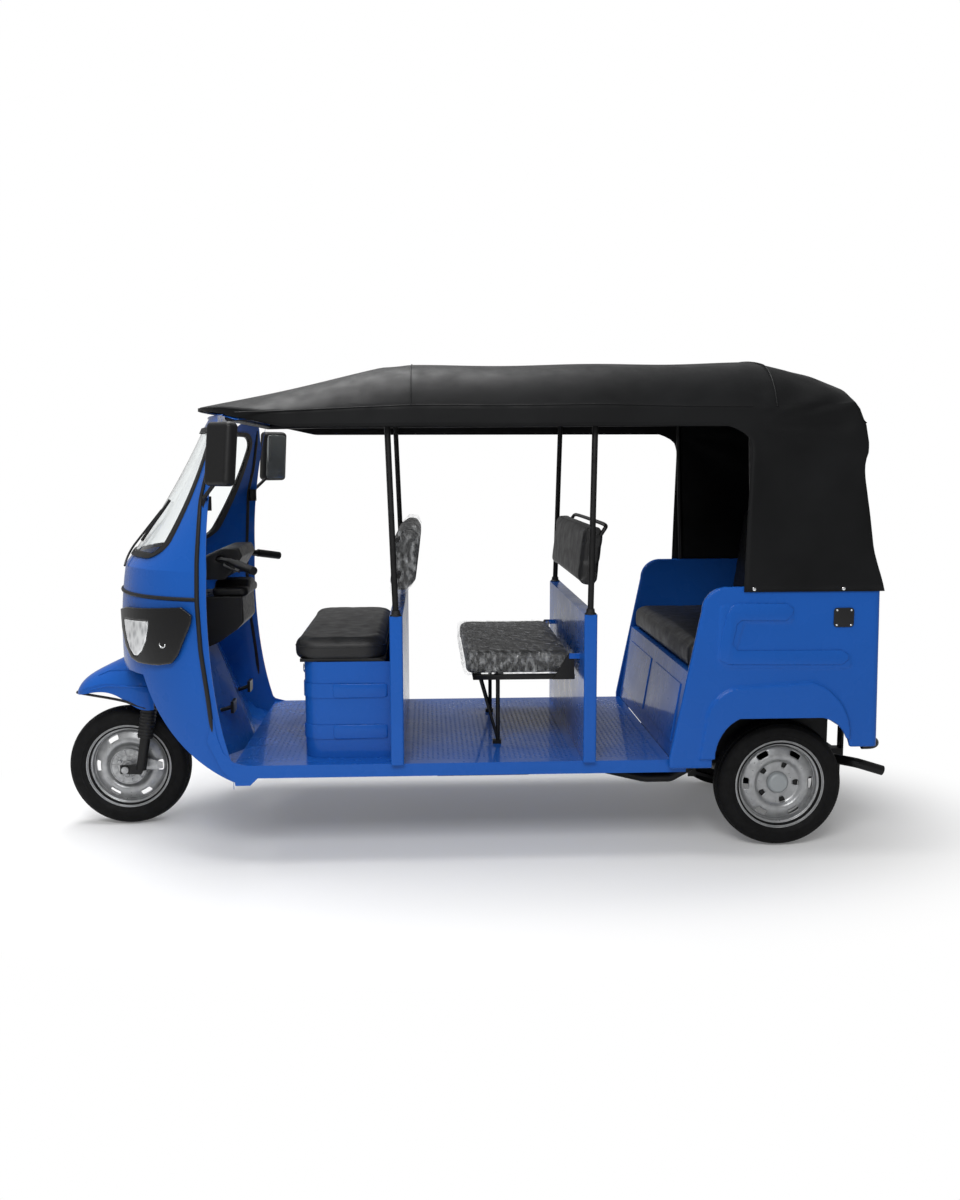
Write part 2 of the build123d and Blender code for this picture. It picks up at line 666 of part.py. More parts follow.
def bench_backrest():
    pad = side_plate([(2586, bench_top + gap), (2668, 1262), (2730, 1262), (2698, bench_top + gap)],
                     -545, 545)
    return fillet(pad.edges(), 18)


# ---- rear body ----------------------------------------------------------------
def rear_side(side):
    """Double-skinned side of the rear body with its wheel arch."""
    wire = Polyline((0, 2184, 352), (0, 2092, 352), (0, 2092, 395), (0, 2199, 930)).edges() \
        + ThreePointArc((0, 2199, 930), (0, 2226, 994), (0, 2284, rear_body_top)).edges() \
        + Polyline((0, 2284, rear_body_top), (0, rear_body_rear - rear_body_lean, rear_body_top),
                   (0, rear_body_rear, rear_body_bottom), (0, 2758, rear_body_bottom)).edges() \
        + ThreePointArc((0, 2758, rear_body_bottom), (0, 2718, 500), (0, 2640, arch_top)).edges() \
        + Line((0, 2640, arch_top), (0, 2346, arch_top)).edges() \
        + ThreePointArc((0, 2346, arch_top), (0, 2290, 490), (0, 2250, 352)).edges() \
        + Line((0, 2250, 352), (0, 2184, 352)).edges()
    shape = side_prism(wire, body_half_width - wall, body_half_width)
    upright = shape.edges().filter_by(lambda e: e.length > 400 and abs(e.center().Y - 2855) < 7)
    shape = fillet(upright.sort_by(Axis.X)[-1], wall - 3) + arch_lip() + side_swage()
    return shape if side > 0 else mirror(shape, about=Plane.YZ)


def rear_panel():
    """Back of the body between the two sides."""
    x = body_half_width - wall - gap
    inner = rear_body_rear - wall
    return side_plate([(rear_body_rear - rear_body_lean, rear_body_top), (rear_body_rear, rear_body_bottom),
                       (inner, rear_body_bottom), (inner - rear_body_lean, rear_body_top)], -x, x)


def wheel_housings():
    """Inner wheel arches: a curved roof and an inner wall over each rear tyre."""
    inner_x, outer_x = 318.0, body_half_width - wall - gap
    roof = block(inner_x, outer_x, 2262, 2752, arch_top + 8, arch_top + 11)
    side_wall = block(inner_x, inner_x + 3, 2262, 2752, 330, arch_top + 11)
    return both_sides(roof + side_wall + block(inner_x, inner_x + 3, 2262, 2752, arch_top + 8, deck_z + 1))


def rear_deck():
    x = body_half_width - wall - gap
    deck = block(-x, x, bench_front_low + 46, rear_body_rear - wall - 12, deck_z, deck_z + 3)
    foot = sill_bottom - 4 + gap
    legs = both_sides(block(200, 240, 2230, 2270, foot, deck_z) + block(200, 240, 2760, 2800, foot, deck_z))
    return deck + legs + wheel_housings()


def arch_lip():
    """Raised band round the left rear wheel's opening."""
    wire = Polyline((0, 2201, 388), (0, 2222, 520)).edges() \
        + ThreePointArc((0, 2222, 520), (0, 2262, 612), (0, 2340, 650)).edges() \
        + Line((0, 2340, 650), (0, 2610, 668)).edges() \
        + ThreePointArc((0, 2610, 668), (0, 2700, 610), (0, 2752, 454)).edges() \
        + Line((0, 2752, 454), (0, 2738, 460)).edges() \
        + ThreePointArc((0, 2738, 460), (0, 2706, 510), (0, 2640, arch_top)).edges() \
        + Line((0, 2640, arch_top), (0, 2346, arch_top)).edges() \
        + ThreePointArc((0, 2346, arch_top), (0, 2290, 490), (0, 2258, 388)).edges() \
        + Line((0, 2258, 388), (0, 2201, 388)).edges()
    return side_prism(wire, body_half_width - 1, body_half_width + 10)


def side_swage():
    """Raised band in the shape of a C on the left side of the body."""
    outline = [(2268, 948), (2525, 945), (2527, 891), (2352, 893), (2319, 773), (2740, 769), (2749, 721),
               (2302, 726), (2265, 755)]
    band = side_plate(outline, body_half_width - 1, body_half_width + swage_proud)
    return fillet(band.edges().filter_by(Axis.X), 12)


def rear_bumper():
    """Bent bar behind the body, on two brackets from the frame's ends."""
    y, z = 2916.0, 398.0
    bar = rod((-398, y, z), (398, y, z), 19)
    for side in (-1, 1):
        bar += bent_tube([(side * 390, y, z), (side * 450, y, z), (side * 450, 2856, z)], 18.5, 40)
    chassis_end, high = 2860.0, sill_bottom - 4
    for side in (-1, 1):
        bar += block(side * 215 - 25, side * 215 + 25, chassis_end + gap, chassis_end + 8, 290, z + 10)
        bar += block(side * 215 - 25, side * 215 + 25, chassis_end + gap, y, z - 8, z + 8)
    return bar


def tail_lamps():
    lean = side_plate([(rear_body_rear - 2 + gap, 560), (rear_body_rear - 5.4 + gap, 760),
                       (rear_body_rear + 1, 760), (rear_body_rear + 4, 560)], 455, 545)
    return both_sides(lean)


# ---- roof ---------------------------------------------------------------------
def roof_section(row, inset, low):
    y, crown, shoulder, edge = row
    half = roof_half_width - inset
    top = ThreePointArc((-shoulder_half_width, y, shoulder - inset), (0, y, crown - inset),
                        (shoulder_half_width, y, shoulder - inset))
    left = TangentArc((shoulder_half_width, y, shoulder - inset), (half, y, edge - inset), tangent=top % 1)
    right = mirror(left, about=Plane.YZ)
    base = Polyline((half, y, edge - inset), (half, y, low), (-half, y, low), (-half, y, edge - inset))
    return make_face(top.edges() + left.edges() + right.edges() + base.edges())


@cache
def roof_volume(inset, low):
    """The roof's outside, shrunk by inset, down to a level, rounded in plan at nose and tail."""
    rows = [(ROOF_SECTIONS[0][0] + inset,) + ROOF_SECTIONS[0][1:]] + ROOF_SECTIONS[1:-1] \
        + [(ROOF_SECTIONS[-1][0] - inset,) + ROOF_SECTIONS[-1][1:]]
    body = loft([roof_section(row, inset, low) for row in rows], ruled=True)
    half, front, rear = roof_half_width - inset, ROOF_SECTIONS[0][0] + 6 + inset, ROOF_SECTIONS[-1][0] - inset
    nose = ThreePointArc((-400, front + 79, 0), (0, front, 0), (400, front + 79, 0))
    left = TangentArc((400, front + 79, 0), (half, 708, 0), tangent=nose % 1)
    right = mirror(left, about=Plane.YZ)
    sides = Polyline((half, 708, 0), (half, rear, 0), (-half, rear, 0), (-half, 708, 0))
    plan = extrude(make_face(nose.edges() + left.edges() + right.edges() + sides.edges()), amount=2200)
    plan = fillet(plan.edges().filter_by(Axis.Z).group_by(Axis.Y)[-1], hood_corner - inset)
    # the hood's back is drawn in between the last hoop and the body
    back = side_plate([(rear + 1, 700), (rear + 1, 1004), (rear - 43, 1148), (rear - 72, 1326),
                       (rear - 80, 1450), (rear - 79, 1524), (rear - 64, 1556), (rear + 2, 1700),
                       (rear + 2, 2000),
                       (0, 2000), (0, 700)],
                      -700, 700)
    return body & plan & back


def canopy():
    """Fabric roof with short side skirts and the closed hood round the last row."""
    on_body = roof_half_width - body_half_width - gap
    shape = roof_volume(0, hood_bottom) - roof_volume(on_body, hood_bottom - 40)
    opening = Polyline((0, hood_front - 6, 900), (0, 0, 900), (0, 0, cab_top + 2), (0, 570, cab_top + 2),
                       (0, 720, 1612), (0, 815, skirt_bottom), (0, hood_front - 75, skirt_bottom)).edges() \
        + ThreePointArc((0, hood_front - 75, skirt_bottom), (0, hood_front - 10, skirt_bottom - 25),
                        (0, hood_front + 12, skirt_bottom - 80)).edges() \
        + Line((0, hood_front + 12, skirt_bottom - 80), (0, hood_front - 6, 900)).edges()
    return shape - side_prism(opening, -700, 700)


def roof_row(y):
    """Crown, shoulder and edge heights of the fabric at a station."""
    for low, high in zip(ROOF_SECTIONS, ROOF_SECTIONS[1:]):
        if low[0] <= y <= high[0]:
            share = (y - low[0]) / (high[0] - low[0])
            return [a + share * (b - a) for a, b in zip(low[1:], high[1:])]


def hoop(y, inset, rail_z):
    """A roof hoop that follows the fabric's section, with a cross tie between the side rails."""
    crown, shoulder = [height - inset for height in roof_row(y)[:2]]
    half = roof_half_width - inset
    top = ThreePointArc((-shoulder_half_width, y, shoulder), (0, y, crown),
                        (shoulder_half_width, y, shoulder))
    left = TangentArc((shoulder_half_width, y, shoulder), (half, y, rail_z), tangent=top % 1)
    path = Wire(mirror(left, about=Plane.YZ).edges() + top.edges() + left.edges())
    bow = sweep(Plane(origin=path @ 0, z_dir=path % 0) * Circle(bow_radius), path=path)
    return bow + rod((-half, y, rail_z), (half, y, rail_z), bow_radius)


def canopy_frame():
    """Steel hoops, side rails and the poles that carry the roof."""
    inset = roof_sheet + bow_radius + 2.5
    x = roof_half_width - inset
    front_hoop, mid_hoop, rear_hoop = 1078.0, 1817.0, hood_front + 12
    rail_z = min(roof_row(y)[2] for y in (front_hoop, mid_hoop, rear_hoop)) - inset
    rail_front_z = rail_z - 9
    header = (495, 508 + gap + bow_radius, cab_top - 12)
    shape = rod((-header[0], header[1], header[2]), header, bow_radius)
    for side in (-1, 1):
        shape += rod((side * x, 760, rail_front_z), (side * x, rear_hoop + bow_radius + 2, rail_z - 1),
                     rail_radius)
        shape += rod((side * header[0], header[1], header[2]), (side * x, 772, rail_front_z), bow_radius)
        shape += rod((side * 579, 2386, rear_body_top + 1), (side * x, rear_hoop, rail_z), bow_radius)
        for foot, head in ((1103, front_hoop), (1801, mid_hoop)):
            shape += rod((side * 560, foot, partition_top + 1), (side * 527, head, rail_z), pole_radius)
    # short arms from the poles to the ends of both backrests
    for y, z, end in BACKREST_ARMS:
        for side in (-1, 1):
            shape += rod((side * 552, y, z), (side * (end + gap), y, z), 8)
    for y in (front_hoop, mid_hoop, rear_hoop):
        shape += hoop(y, inset, rail_z)
    return shape


# ---- fittings -----------------------------------------------------------------
def dash_console():
    """Black plastic console round the steering column."""
    outline = [(90, 760), (90, 930), (330, 945), (500, 946), (530, 925), (530, 880), (470, 815), (400, 765),
               (356, 745 + gap), (335, 745 + gap)]
    shape = side_plate(outline, -150, 150)
    shape &= cab_volume(-panel - gap, tail=60)
    well = rod(steer_point(600), steer_point(1100), 60)
    shape -= side_plate([(90, 740), (300, 740), (400, 900), (90, 900)], -140, 140)
    return shape - well - block(-34, 34, 80, 420, 700, 830)


def pedals():
    """Two foot pedals on arms that leave the toe board."""
    ridge, side = bulkhead_level(505)
    board = ridge - (ridge - side) * 200 / 600
    return both_sides(rod((200, board + 2.4, 505), (200, board + 52, 520), 8)
                      + block(165, 235, board + 46, board + 58, 500, 545))


def mirrors():
    """Side mirrors on cranked stalks from the windscreen pillars."""
    shell = Pos(641, 518, 1493) * Rot(0, 0, 52) * Rot(-6, 0, 0) * fillet(Box(118, 52, 218).edges(), 18)
    stalk = bent_tube([(515, 440, 1330), (560, 442, 1345), (600, 480, 1385), (632, 518, 1430)], 7, 15)
    return both_sides((shell + stalk) - cab_volume(gap, tail=60))


# ---- write every sub-part -----------------------------------------------------
PARTS = {
    "chassis_frame": chassis_frame,
    "floor_pan": floor_pan,
    "cab_shell": cab_shell,
    "front_bulkhead": front_bulkhead,
    "windscreen_glass": windscreen_glass,
    "windscreen_seal": windscreen_seal,
    "headlamp_bezels": headlamp_bezels,
    "headlamp_lenses": headlamp_lenses,
    "front_mudguard": front_mudguard,
    "dash_console": dash_console,
    "pedals": pedals,
    "mirrors": mirrors,
    "engine": engine,
    "rear_axle": rear_axle,
    "leaf_springs": leaf_springs,
    "exhaust": exhaust,
    "front_partition": lambda: partition(front_partition_y),
    "mid_partition": mid_partition,
    "seat_box": seat_box,
    "driver_cushion": driver_cushion,
    "front_backrest": front_backrest,
    "mid_backrest": mid_backrest,
    "folding_seat": folding_seat,
    "folding_leg": folding_leg,
    "bench_riser": bench_riser,
    "bench_cushion": bench_cushion,
    "bench_backrest": bench_backrest,
    "rear_side_left": lambda: rear_side(1),
    "rear_side_right": lambda: rear_side(-1),
    "rear_panel": rear_panel,
    "rear_deck": rear_deck,
    "rear_bumper": rear_bumper,
    "tail_lamps": tail_lamps,
    "canopy": canopy,
    "canopy_frame": canopy_frame,
    "fork": fork,
    "front_axle": front_axle,
    "handlebar": handlebar,
    "handlebar_cowl": handlebar_cowl,
    "front_wheel": lambda: at_front(rim() + front_hub()),
    "front_tyre": lambda: at_front(tyre()),
    "rear_wheel_left": lambda: at_rear(rim() + rear_hub()),
    "rear_tyre_left": lambda: at_rear(tyre()),
    "rear_wheel_right": lambda: mirror(at_rear(rim() + rear_hub()), about=Plane.YZ),
    "rear_tyre_right": lambda: mirror(at_rear(tyre()), about=Plane.YZ),
}

os.makedirs("parts", exist_ok=True)
for name, make in PARTS.items():
    export_step(Pos(0, -middle, 0) * make(), "parts/" + name + ".step")
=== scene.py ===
# Looks of the passenger auto rickshaw: blue pressed steel, a black vinyl roof, three
# rows of seats and slotted steel wheels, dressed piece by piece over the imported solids.
import math
import random

import bmesh
import bpy
from mathutils import Matrix, Vector
from mathutils.bvhtree import BVHTree


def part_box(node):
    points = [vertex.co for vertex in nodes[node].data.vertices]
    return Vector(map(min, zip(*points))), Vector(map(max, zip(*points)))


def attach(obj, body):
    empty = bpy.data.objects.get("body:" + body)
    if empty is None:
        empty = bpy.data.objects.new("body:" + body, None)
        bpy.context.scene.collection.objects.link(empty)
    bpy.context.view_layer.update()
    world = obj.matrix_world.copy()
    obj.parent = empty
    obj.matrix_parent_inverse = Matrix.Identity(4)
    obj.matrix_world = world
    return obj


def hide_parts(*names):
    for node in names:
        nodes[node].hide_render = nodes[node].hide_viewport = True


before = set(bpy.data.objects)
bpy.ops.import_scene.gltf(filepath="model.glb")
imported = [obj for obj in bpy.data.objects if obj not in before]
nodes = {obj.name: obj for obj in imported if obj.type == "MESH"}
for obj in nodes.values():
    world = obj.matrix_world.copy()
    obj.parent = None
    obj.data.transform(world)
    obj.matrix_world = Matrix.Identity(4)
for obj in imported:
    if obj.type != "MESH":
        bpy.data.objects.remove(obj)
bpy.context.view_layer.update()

# Places are given in millimetres from the ground under the front axle, Y rearward,
# and become metres in the part's own frame here.
tyre_low, tyre_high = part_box("front_tyre")
front_axle_y = (tyre_low.y + tyre_high.y) / 2


def place(x, y, z):
    """A point given in millimetres from the front axle's foot, in the part's frame."""
    return Vector((x / 1000, front_axle_y + y / 1000, z / 1000))


# ---- camera, floor and light ----------------------------------------------------
# The camera stands 4.5 m from the left side, a little above the driver's eye, and looks
# slightly down. A pale floor and a plain white surround give soft, even studio light.
camera_place = Vector((4.48284, -0.139467, 1.463168))
camera_yaw, camera_pitch, camera_roll = (math.radians(a) for a in (2.63652, 7.08534, -0.14726))
camera_lens = 33.24

forward = Vector((-math.cos(camera_yaw) * math.cos(camera_pitch),
                  math.sin(camera_yaw) * math.cos(camera_pitch), -math.sin(camera_pitch)))
right = forward.cross(Vector((0, 0, 1))).normalized()
up = right.cross(forward)
right, up = (right * math.cos(camera_roll) + up * math.sin(camera_roll),
             up * math.cos(camera_roll) - right * math.sin(camera_roll))
camera = bpy.data.objects.new("camera", bpy.data.cameras.new("camera"))
bpy.context.scene.collection.objects.link(camera)
camera.data.sensor_width = 36
camera.data.lens = camera_lens
camera.data.clip_end = 200
camera.matrix_world = Matrix((right, up, -forward)).transposed().to_4x4()
camera.location = camera_place
bpy.context.scene.camera = camera
bpy.context.scene.view_settings.view_transform = "Standard"


glossy_share = 0.2


def lit_only_in_view(tree, shaded, white, share):
    """Mixes a white glow into what the camera, mirrors and glass see of a surround."""
    path = tree.nodes.new("ShaderNodeLightPath")
    seen, through, mirrored, scale = (tree.nodes.new("ShaderNodeMath") for _ in range(4))
    seen.operation = through.operation = "MAXIMUM"
    mirrored.operation = scale.operation = "MULTIPLY"
    mirrored.inputs[1].default_value = glossy_share
    tree.links.new(path.outputs["Is Camera Ray"], seen.inputs[0])
    tree.links.new(path.outputs["Is Glossy Ray"], mirrored.inputs[0])
    tree.links.new(mirrored.outputs[0], seen.inputs[1])
    tree.links.new(seen.outputs[0], through.inputs[0])
    tree.links.new(path.outputs["Is Transmission Ray"], through.inputs[1])
    scale.name = "in_view_share"
    scale.inputs[1].default_value = share
    tree.links.new(through.outputs[0], scale.inputs[0])
    mix = tree.nodes.new("ShaderNodeMixShader")
    tree.links.new(scale.outputs[0], mix.inputs[0])
    tree.links.new(shaded, mix.inputs[1])
    tree.links.new(white, mix.inputs[2])
    return mix.outputs[0]


floor_mesh = bmesh.new()
bmesh.ops.create_grid(floor_mesh, x_segments=1, y_segments=1, size=60)
floor_data = bpy.data.meshes.new("studio_floor")
floor_mesh.to_mesh(floor_data)
floor_mesh.free()
floor = bpy.data.objects.new("studio_floor", floor_data)
bpy.context.scene.collection.objects.link(floor)
floor_finish = bpy.data.materials.new("studio_floor")
floor_finish.use_nodes = True
floor_tree = floor_finish.node_tree
floor_shader = floor_tree.nodes["Principled BSDF"]
floor_shader.inputs["Base Color"].default_value = (0.93, 0.93, 0.93, 1)
floor_shader.inputs["Roughness"].default_value = 0.6
floor_shader.inputs["Specular IOR Level"].default_value = 0.2
floor_glow = floor_tree.nodes.new("ShaderNodeEmission")
floor_glow.inputs["Strength"].default_value = 1.0
floor_out = lit_only_in_view(floor_tree, floor_shader.outputs[0], floor_glow.outputs[0], 1.0)
# near the object the floor shows its shade, and further off it runs into the white
floor_place = floor_tree.nodes.new("ShaderNodeTexCoord")
floor_reach = floor_tree.nodes.new("ShaderNodeMapping")
floor_reach.inputs["Scale"].default_value = (0.72, 0.46, 1)
floor_far = floor_tree.nodes.new("ShaderNodeVectorMath")
floor_far.operation = "LENGTH"
floor_fade = floor_tree.nodes.new("ShaderNodeMapRange")
floor_fade.interpolation_type = "SMOOTHSTEP"
for socket, value in zip(("From Min", "From Max", "To Min", "To Max"), (0.66, 1.12, 0.12, 1.0)):
    floor_fade.inputs[socket].default_value = value
floor_tree.links.new(floor_place.outputs["Object"], floor_reach.inputs["Vector"])
floor_tree.links.new(floor_reach.outputs["Vector"], floor_far.inputs[0])
floor_tree.links.new(floor_far.outputs["Value"], floor_fade.inputs["Value"])
floor_scale = floor_tree.nodes["in_view_share"]
floor_tree.links.new(floor_fade.outputs["Result"], floor_scale.inputs[1])
floor_tree.links.new(floor_out, floor_tree.nodes["Material Output"].inputs["Surface"])
floor_data.materials.append(floor_finish)

world = bpy.data.worlds.new("studio")
world.use_nodes = True
bpy.context.scene.world = world
world_tree = world.node_tree
surround = world_tree.nodes["Background"]
surround.inputs["Color"].default_value = (1, 1, 1, 1)
surround.inputs["Strength"].default_value = 0.30
white_backdrop = world_tree.nodes.new("ShaderNodeBackground")
white_backdrop.inputs["Color"].default_value = (1, 1, 1, 1)
white_backdrop.inputs["Strength"].default_value = 1.0
world_out = lit_only_in_view(world_tree, surround.outputs[0], white_backdrop.outputs[0], 1.0)
world_tree.links.new(world_out, world_tree.nodes["World Output"].inputs["Surface"])


def area_light(name, point, aim, size, power):
    """A soft box lamp that faces a point."""
    lamp = bpy.data.objects.new(name, bpy.data.lights.new(name, "AREA"))
    bpy.context.scene.collection.objects.link(lamp)
    lamp.data.shape = "RECTANGLE"
    lamp.data.size, lamp.data.size_y = size
    lamp.data.energy = power
    lamp.location = point
    lamp.rotation_mode = "QUATERNION"
    lamp.rotation_quaternion = (Vector(aim) - Vector(point)).to_track_quat("-Z", "Y")


area_light("key_box", (4.2, -0.5, 3.6), (0, 0.1, 0.6), (2.6, 1.6), 130)
area_light("top_box", (-0.4, -1.0, 4.6), (0, 0.0, 0.6), (4.2, 2.6), 250)


# ---- painted steel ----------------------------------------------------------------
# Nose, side panels, partitions, boxes and body are pressed sheet steel in glossy blue
# enamel. The paint has a clear top coat, a faint orange peel and slightly uneven gloss.
def new_finish(name, slot, colour, roughness, **sockets):
    """A material for one of the record's slots. Keywords set the shader's own sockets."""
    finish = bpy.data.materials.new(name)
    finish.use_nodes = True
    finish["slot"] = slot
    shader = finish.node_tree.nodes["Principled BSDF"]
    shader.inputs["Base Color"].default_value = (*colour, 1)
    shader.inputs["Roughness"].default_value = roughness
    for socket, value in sockets.items():
        shader.inputs[socket.replace("_", " ")].default_value = value
    return finish


def noise(finish, scale, detail=3.0, stretch=(1, 1, 1), kind="ShaderNodeTexNoise"):
    """A noise or cell pattern that is fixed to the piece's own coordinates."""
    tree = finish.node_tree
    where = tree.nodes.new("ShaderNodeTexCoord")
    turn = tree.nodes.new("ShaderNodeMapping")
    turn.inputs["Scale"].default_value = stretch
    pattern = tree.nodes.new(kind)
    pattern.inputs["Scale"].default_value = scale
    if "Detail" in pattern.inputs:
        pattern.inputs["Detail"].default_value = detail
    tree.links.new(where.outputs["Object"], turn.inputs["Vector"])
    tree.links.new(turn.outputs["Vector"], pattern.inputs["Vector"])
    return pattern.outputs["Distance"] if "Distance" in pattern.outputs else pattern.outputs[0]


def vary(finish, socket, pattern, low, high, start=0.3, end=0.7):
    """Spreads a pattern between two values, or two colours, of a shader socket."""
    tree = finish.node_tree
    spread = tree.nodes.new("ShaderNodeMapRange")
    spread.inputs["From Min"].default_value = start
    spread.inputs["From Max"].default_value = end
    tree.links.new(pattern, spread.inputs["Value"])
    shader = tree.nodes["Principled BSDF"]
    if isinstance(low, tuple):
        mix = tree.nodes.new("ShaderNodeMix")
        mix.data_type = "RGBA"
        mix.inputs["A"].default_value = (*low, 1)
        mix.inputs["B"].default_value = (*high, 1)
        tree.links.new(spread.outputs["Result"], mix.inputs["Factor"])
        tree.links.new(mix.outputs["Result"], shader.inputs[socket])
    else:
        spread.inputs["To Min"].default_value = low
        spread.inputs["To Max"].default_value = high
        tree.links.new(spread.outputs["Result"], shader.inputs[socket])


def relief(finish, pattern, depth, strength=1.0):
    """Adds a fine surface relief, in metres, over any that is there."""
    tree = finish.node_tree
    bump = tree.nodes.new("ShaderNodeBump")
    bump.inputs["Distance"].default_value = depth
    bump.inputs["Strength"].default_value = strength
    tree.links.new(pattern, bump.inputs["Height"])
    normal = tree.nodes["Principled BSDF"].inputs["Normal"]
    if normal.links:
        tree.links.new(normal.links[0].from_socket, bump.inputs["Normal"])
    tree.links.new(bump.outputs["Normal"], normal)


def merged(node):
    """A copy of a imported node's shape as a bmesh, its loose triangles joined."""
    bm = bmesh.new()
    bm.from_mesh(nodes[node].data)
    bmesh.ops.remove_doubles(bm, verts=bm.verts[:], dist=1e-6)
    return bm


def eased(bm, geom, offset, segments, affect="EDGES"):
    """Rounds edges, or corners, of a bmesh."""
    bmesh.ops.bevel(bm, geom=geom, offset=offset, segments=segments, profile=0.5, affect=affect, material=-1)


def put(bm, spot, *turns):
    """Turns a bmesh about the origin, by degrees and axis in order, and moves it to a spot."""
    for degrees, axis in turns:
        bmesh.ops.rotate(bm, cent=(0, 0, 0), matrix=Matrix.Rotation(math.radians(degrees), 3, axis),
                         verts=bm.verts[:])
    bmesh.ops.translate(bm, vec=spot, verts=bm.verts[:])


def slab(points, depth):
    """A sheet between an outline and the same outline moved by a depth along X, in metres."""
    bm = bmesh.new()
    face = bm.faces.new([bm.verts.new(point) for point in points])
    grown_part = bmesh.ops.extrude_face_region(bm, geom=[face])["geom"]
    bmesh.ops.translate(bm, vec=(depth, 0, 0),
                        verts=[item for item in grown_part if isinstance(item, bmesh.types.BMVert)])
    bmesh.ops.recalc_face_normals(bm, faces=bm.faces[:])
    return bm


def dress(finish, *names):
    """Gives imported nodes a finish."""
    for name in names:
        nodes[name].data.materials.clear()
        nodes[name].data.materials.append(finish)


def show(name, bm, finish, body="body", crease=35.0):
    """Makes a bmesh, built in the part's frame, into a piece that rides on a body."""
    mesh = bpy.data.meshes.new(name)
    bm.to_mesh(mesh)
    bm.free()
    mesh.materials.append(finish)
    mesh.shade_smooth()
    mesh.set_sharp_from_angle(angle=math.radians(crease))
    piece = bpy.data.objects.new(name, mesh)
    bpy.context.scene.collection.objects.link(piece)
    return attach(piece, body)


def lit_edges(width, *names):
    """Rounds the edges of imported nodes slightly, so that they catch the light."""
    for name in names:
        edge = nodes[name].modifiers.new("lit_edges", "BEVEL")
        edge.width, edge.segments, edge.limit_method = width, 2, "ANGLE"
        edge.angle_limit = math.radians(32)


def evenly_meshed(bm, voxel, rounds=0):
    """The same shape in even faces of one size, smoothed by a number of rounds."""
    mesh = bpy.data.meshes.new("spare")
    bm.to_mesh(mesh)
    bm.free()
    spare = bpy.data.objects.new("spare", mesh)
    bpy.context.scene.collection.objects.link(spare)
    even = spare.modifiers.new("even", "REMESH")
    even.mode, even.voxel_size = "VOXEL", voxel
    if rounds:
        ease = spare.modifiers.new("ease", "SMOOTH")
        ease.factor, ease.iterations = 0.5, rounds
    smooth = bpy.data.meshes.new_from_object(spare.evaluated_get(bpy.context.evaluated_depsgraph_get()))
    bpy.data.objects.remove(spare)
    bpy.data.meshes.remove(mesh)
    bm = bmesh.new()
    bm.from_mesh(smooth)
    bpy.data.meshes.remove(smooth)
    return bm


def softened(name, node, voxel, rounds, finish, body="body", crease=60):
    """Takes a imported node's place with its own shape, its edges eased as in pressed or moulded parts."""
    piece = show(name, evenly_meshed(merged(node), voxel, rounds), finish, body, crease)
    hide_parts(node)
    return piece


blue_paint = new_finish("blue_paint", "body_blue", (0.010, 0.085, 0.37), 0.26, Specular_IOR_Level=0.07,
                        Coat_Weight=0.4, Coat_Roughness=0.03, Coat_IOR=1.28)
vary(blue_paint, "Base Color", noise(blue_paint, 2.2), (0.009, 0.082, 0.36), (0.011, 0.090, 0.39))
vary(blue_paint, "Roughness", noise(blue_paint, 9.0), 0.22, 0.34)
relief(blue_paint, noise(blue_paint, 260.0, 1.0), 0.00012)
dress(blue_paint, "cab_shell", "front_bulkhead", "front_mudguard", "front_partition", "mid_partition",
      "seat_box", "bench_riser", "rear_panel", "floor_pan")
lit_edges(0.0022, "seat_box", "front_partition", "mid_partition", "bench_riser")


# ---- roof canopy ------------------------------------------------------------------
# One black vinyl cover, stretched over steel bows, turned down in short skirts along the
# sides and down to the body round the last row. Welted seams run along its edges.
black_vinyl_cloth = new_finish("canopy_vinyl", "canopy_fabric", (0.0050, 0.0052, 0.0056), 0.5,
                               Specular_IOR_Level=0.12)
vary(black_vinyl_cloth, "Base Color", noise(black_vinyl_cloth, 3.0), (0.0038, 0.0040, 0.0043),
     (0.0065, 0.0068, 0.0074))
vary(black_vinyl_cloth, "Roughness", noise(black_vinyl_cloth, 14.0), 0.42, 0.6)
relief(black_vinyl_cloth, noise(black_vinyl_cloth, 420.0, 2.0), 0.00025)
relief(black_vinyl_cloth, noise(black_vinyl_cloth, 6.0, 4.0, (1, 0.35, 1)), 0.004, 0.5)

# station, crown, shoulder and edge heights, in millimetres
roof_bows = ((330, 1668, 1644, 1628), (1049, 1828, 1794, 1655), (1162, 1838, 1806, 1660),
             (1839, 1843, 1810, 1663), (2448, 1851, 1816, 1655), (2640, 1802, 1773, 1668),
             (2735, 1752, 1728, 1670), (2780, 1655, 1640, 1560))
hood_back = ((1004, 2862), (1148, 2818), (1326, 2789), (1450, 2781), (1524, 2784), (1600, 2769), (1700, 2765))
roof_half, roof_shoulder = 597.5, 400.0
roof_sag = 6.0


def along(table, value, column=1):
    """Reads a column of a table between its rows."""
    for low, high in zip(table, table[1:]):
        if value <= high[0]:
            share = max(0.0, (value - low[0]) / (high[0] - low[0]))
            return low[column] + share * (high[column] - low[column])
    return table[-1][column]


def bow_point(bow, across):
    """A point of a bow's line. Across runs from 0 at the ridge to 1 at the edge."""
    station, crown, shoulder, edge = bow
    rise = crown - shoulder
    radius = (roof_shoulder ** 2 + rise ** 2) / (2 * rise)
    turn = math.asin(roof_shoulder / radius)
    if across <= 0.55:
        angle = turn * across / 0.55
        return radius * math.sin(angle), crown - radius + radius * math.cos(angle)
    # the side arc leaves the top arc without a corner and ends at the edge
    dx, dz = roof_half - roof_shoulder, edge - shoulder
    chord = math.hypot(dx, dz)
    half_turn = math.atan2(-dz, dx) - turn
    side_radius = chord / (2 * math.sin(half_turn))
    angle = turn + 2 * half_turn * (across - 0.55) / 0.45
    x = roof_shoulder + side_radius * (math.sin(angle) - math.sin(turn))
    return x, shoulder - side_radius * (math.cos(turn) - math.cos(angle))


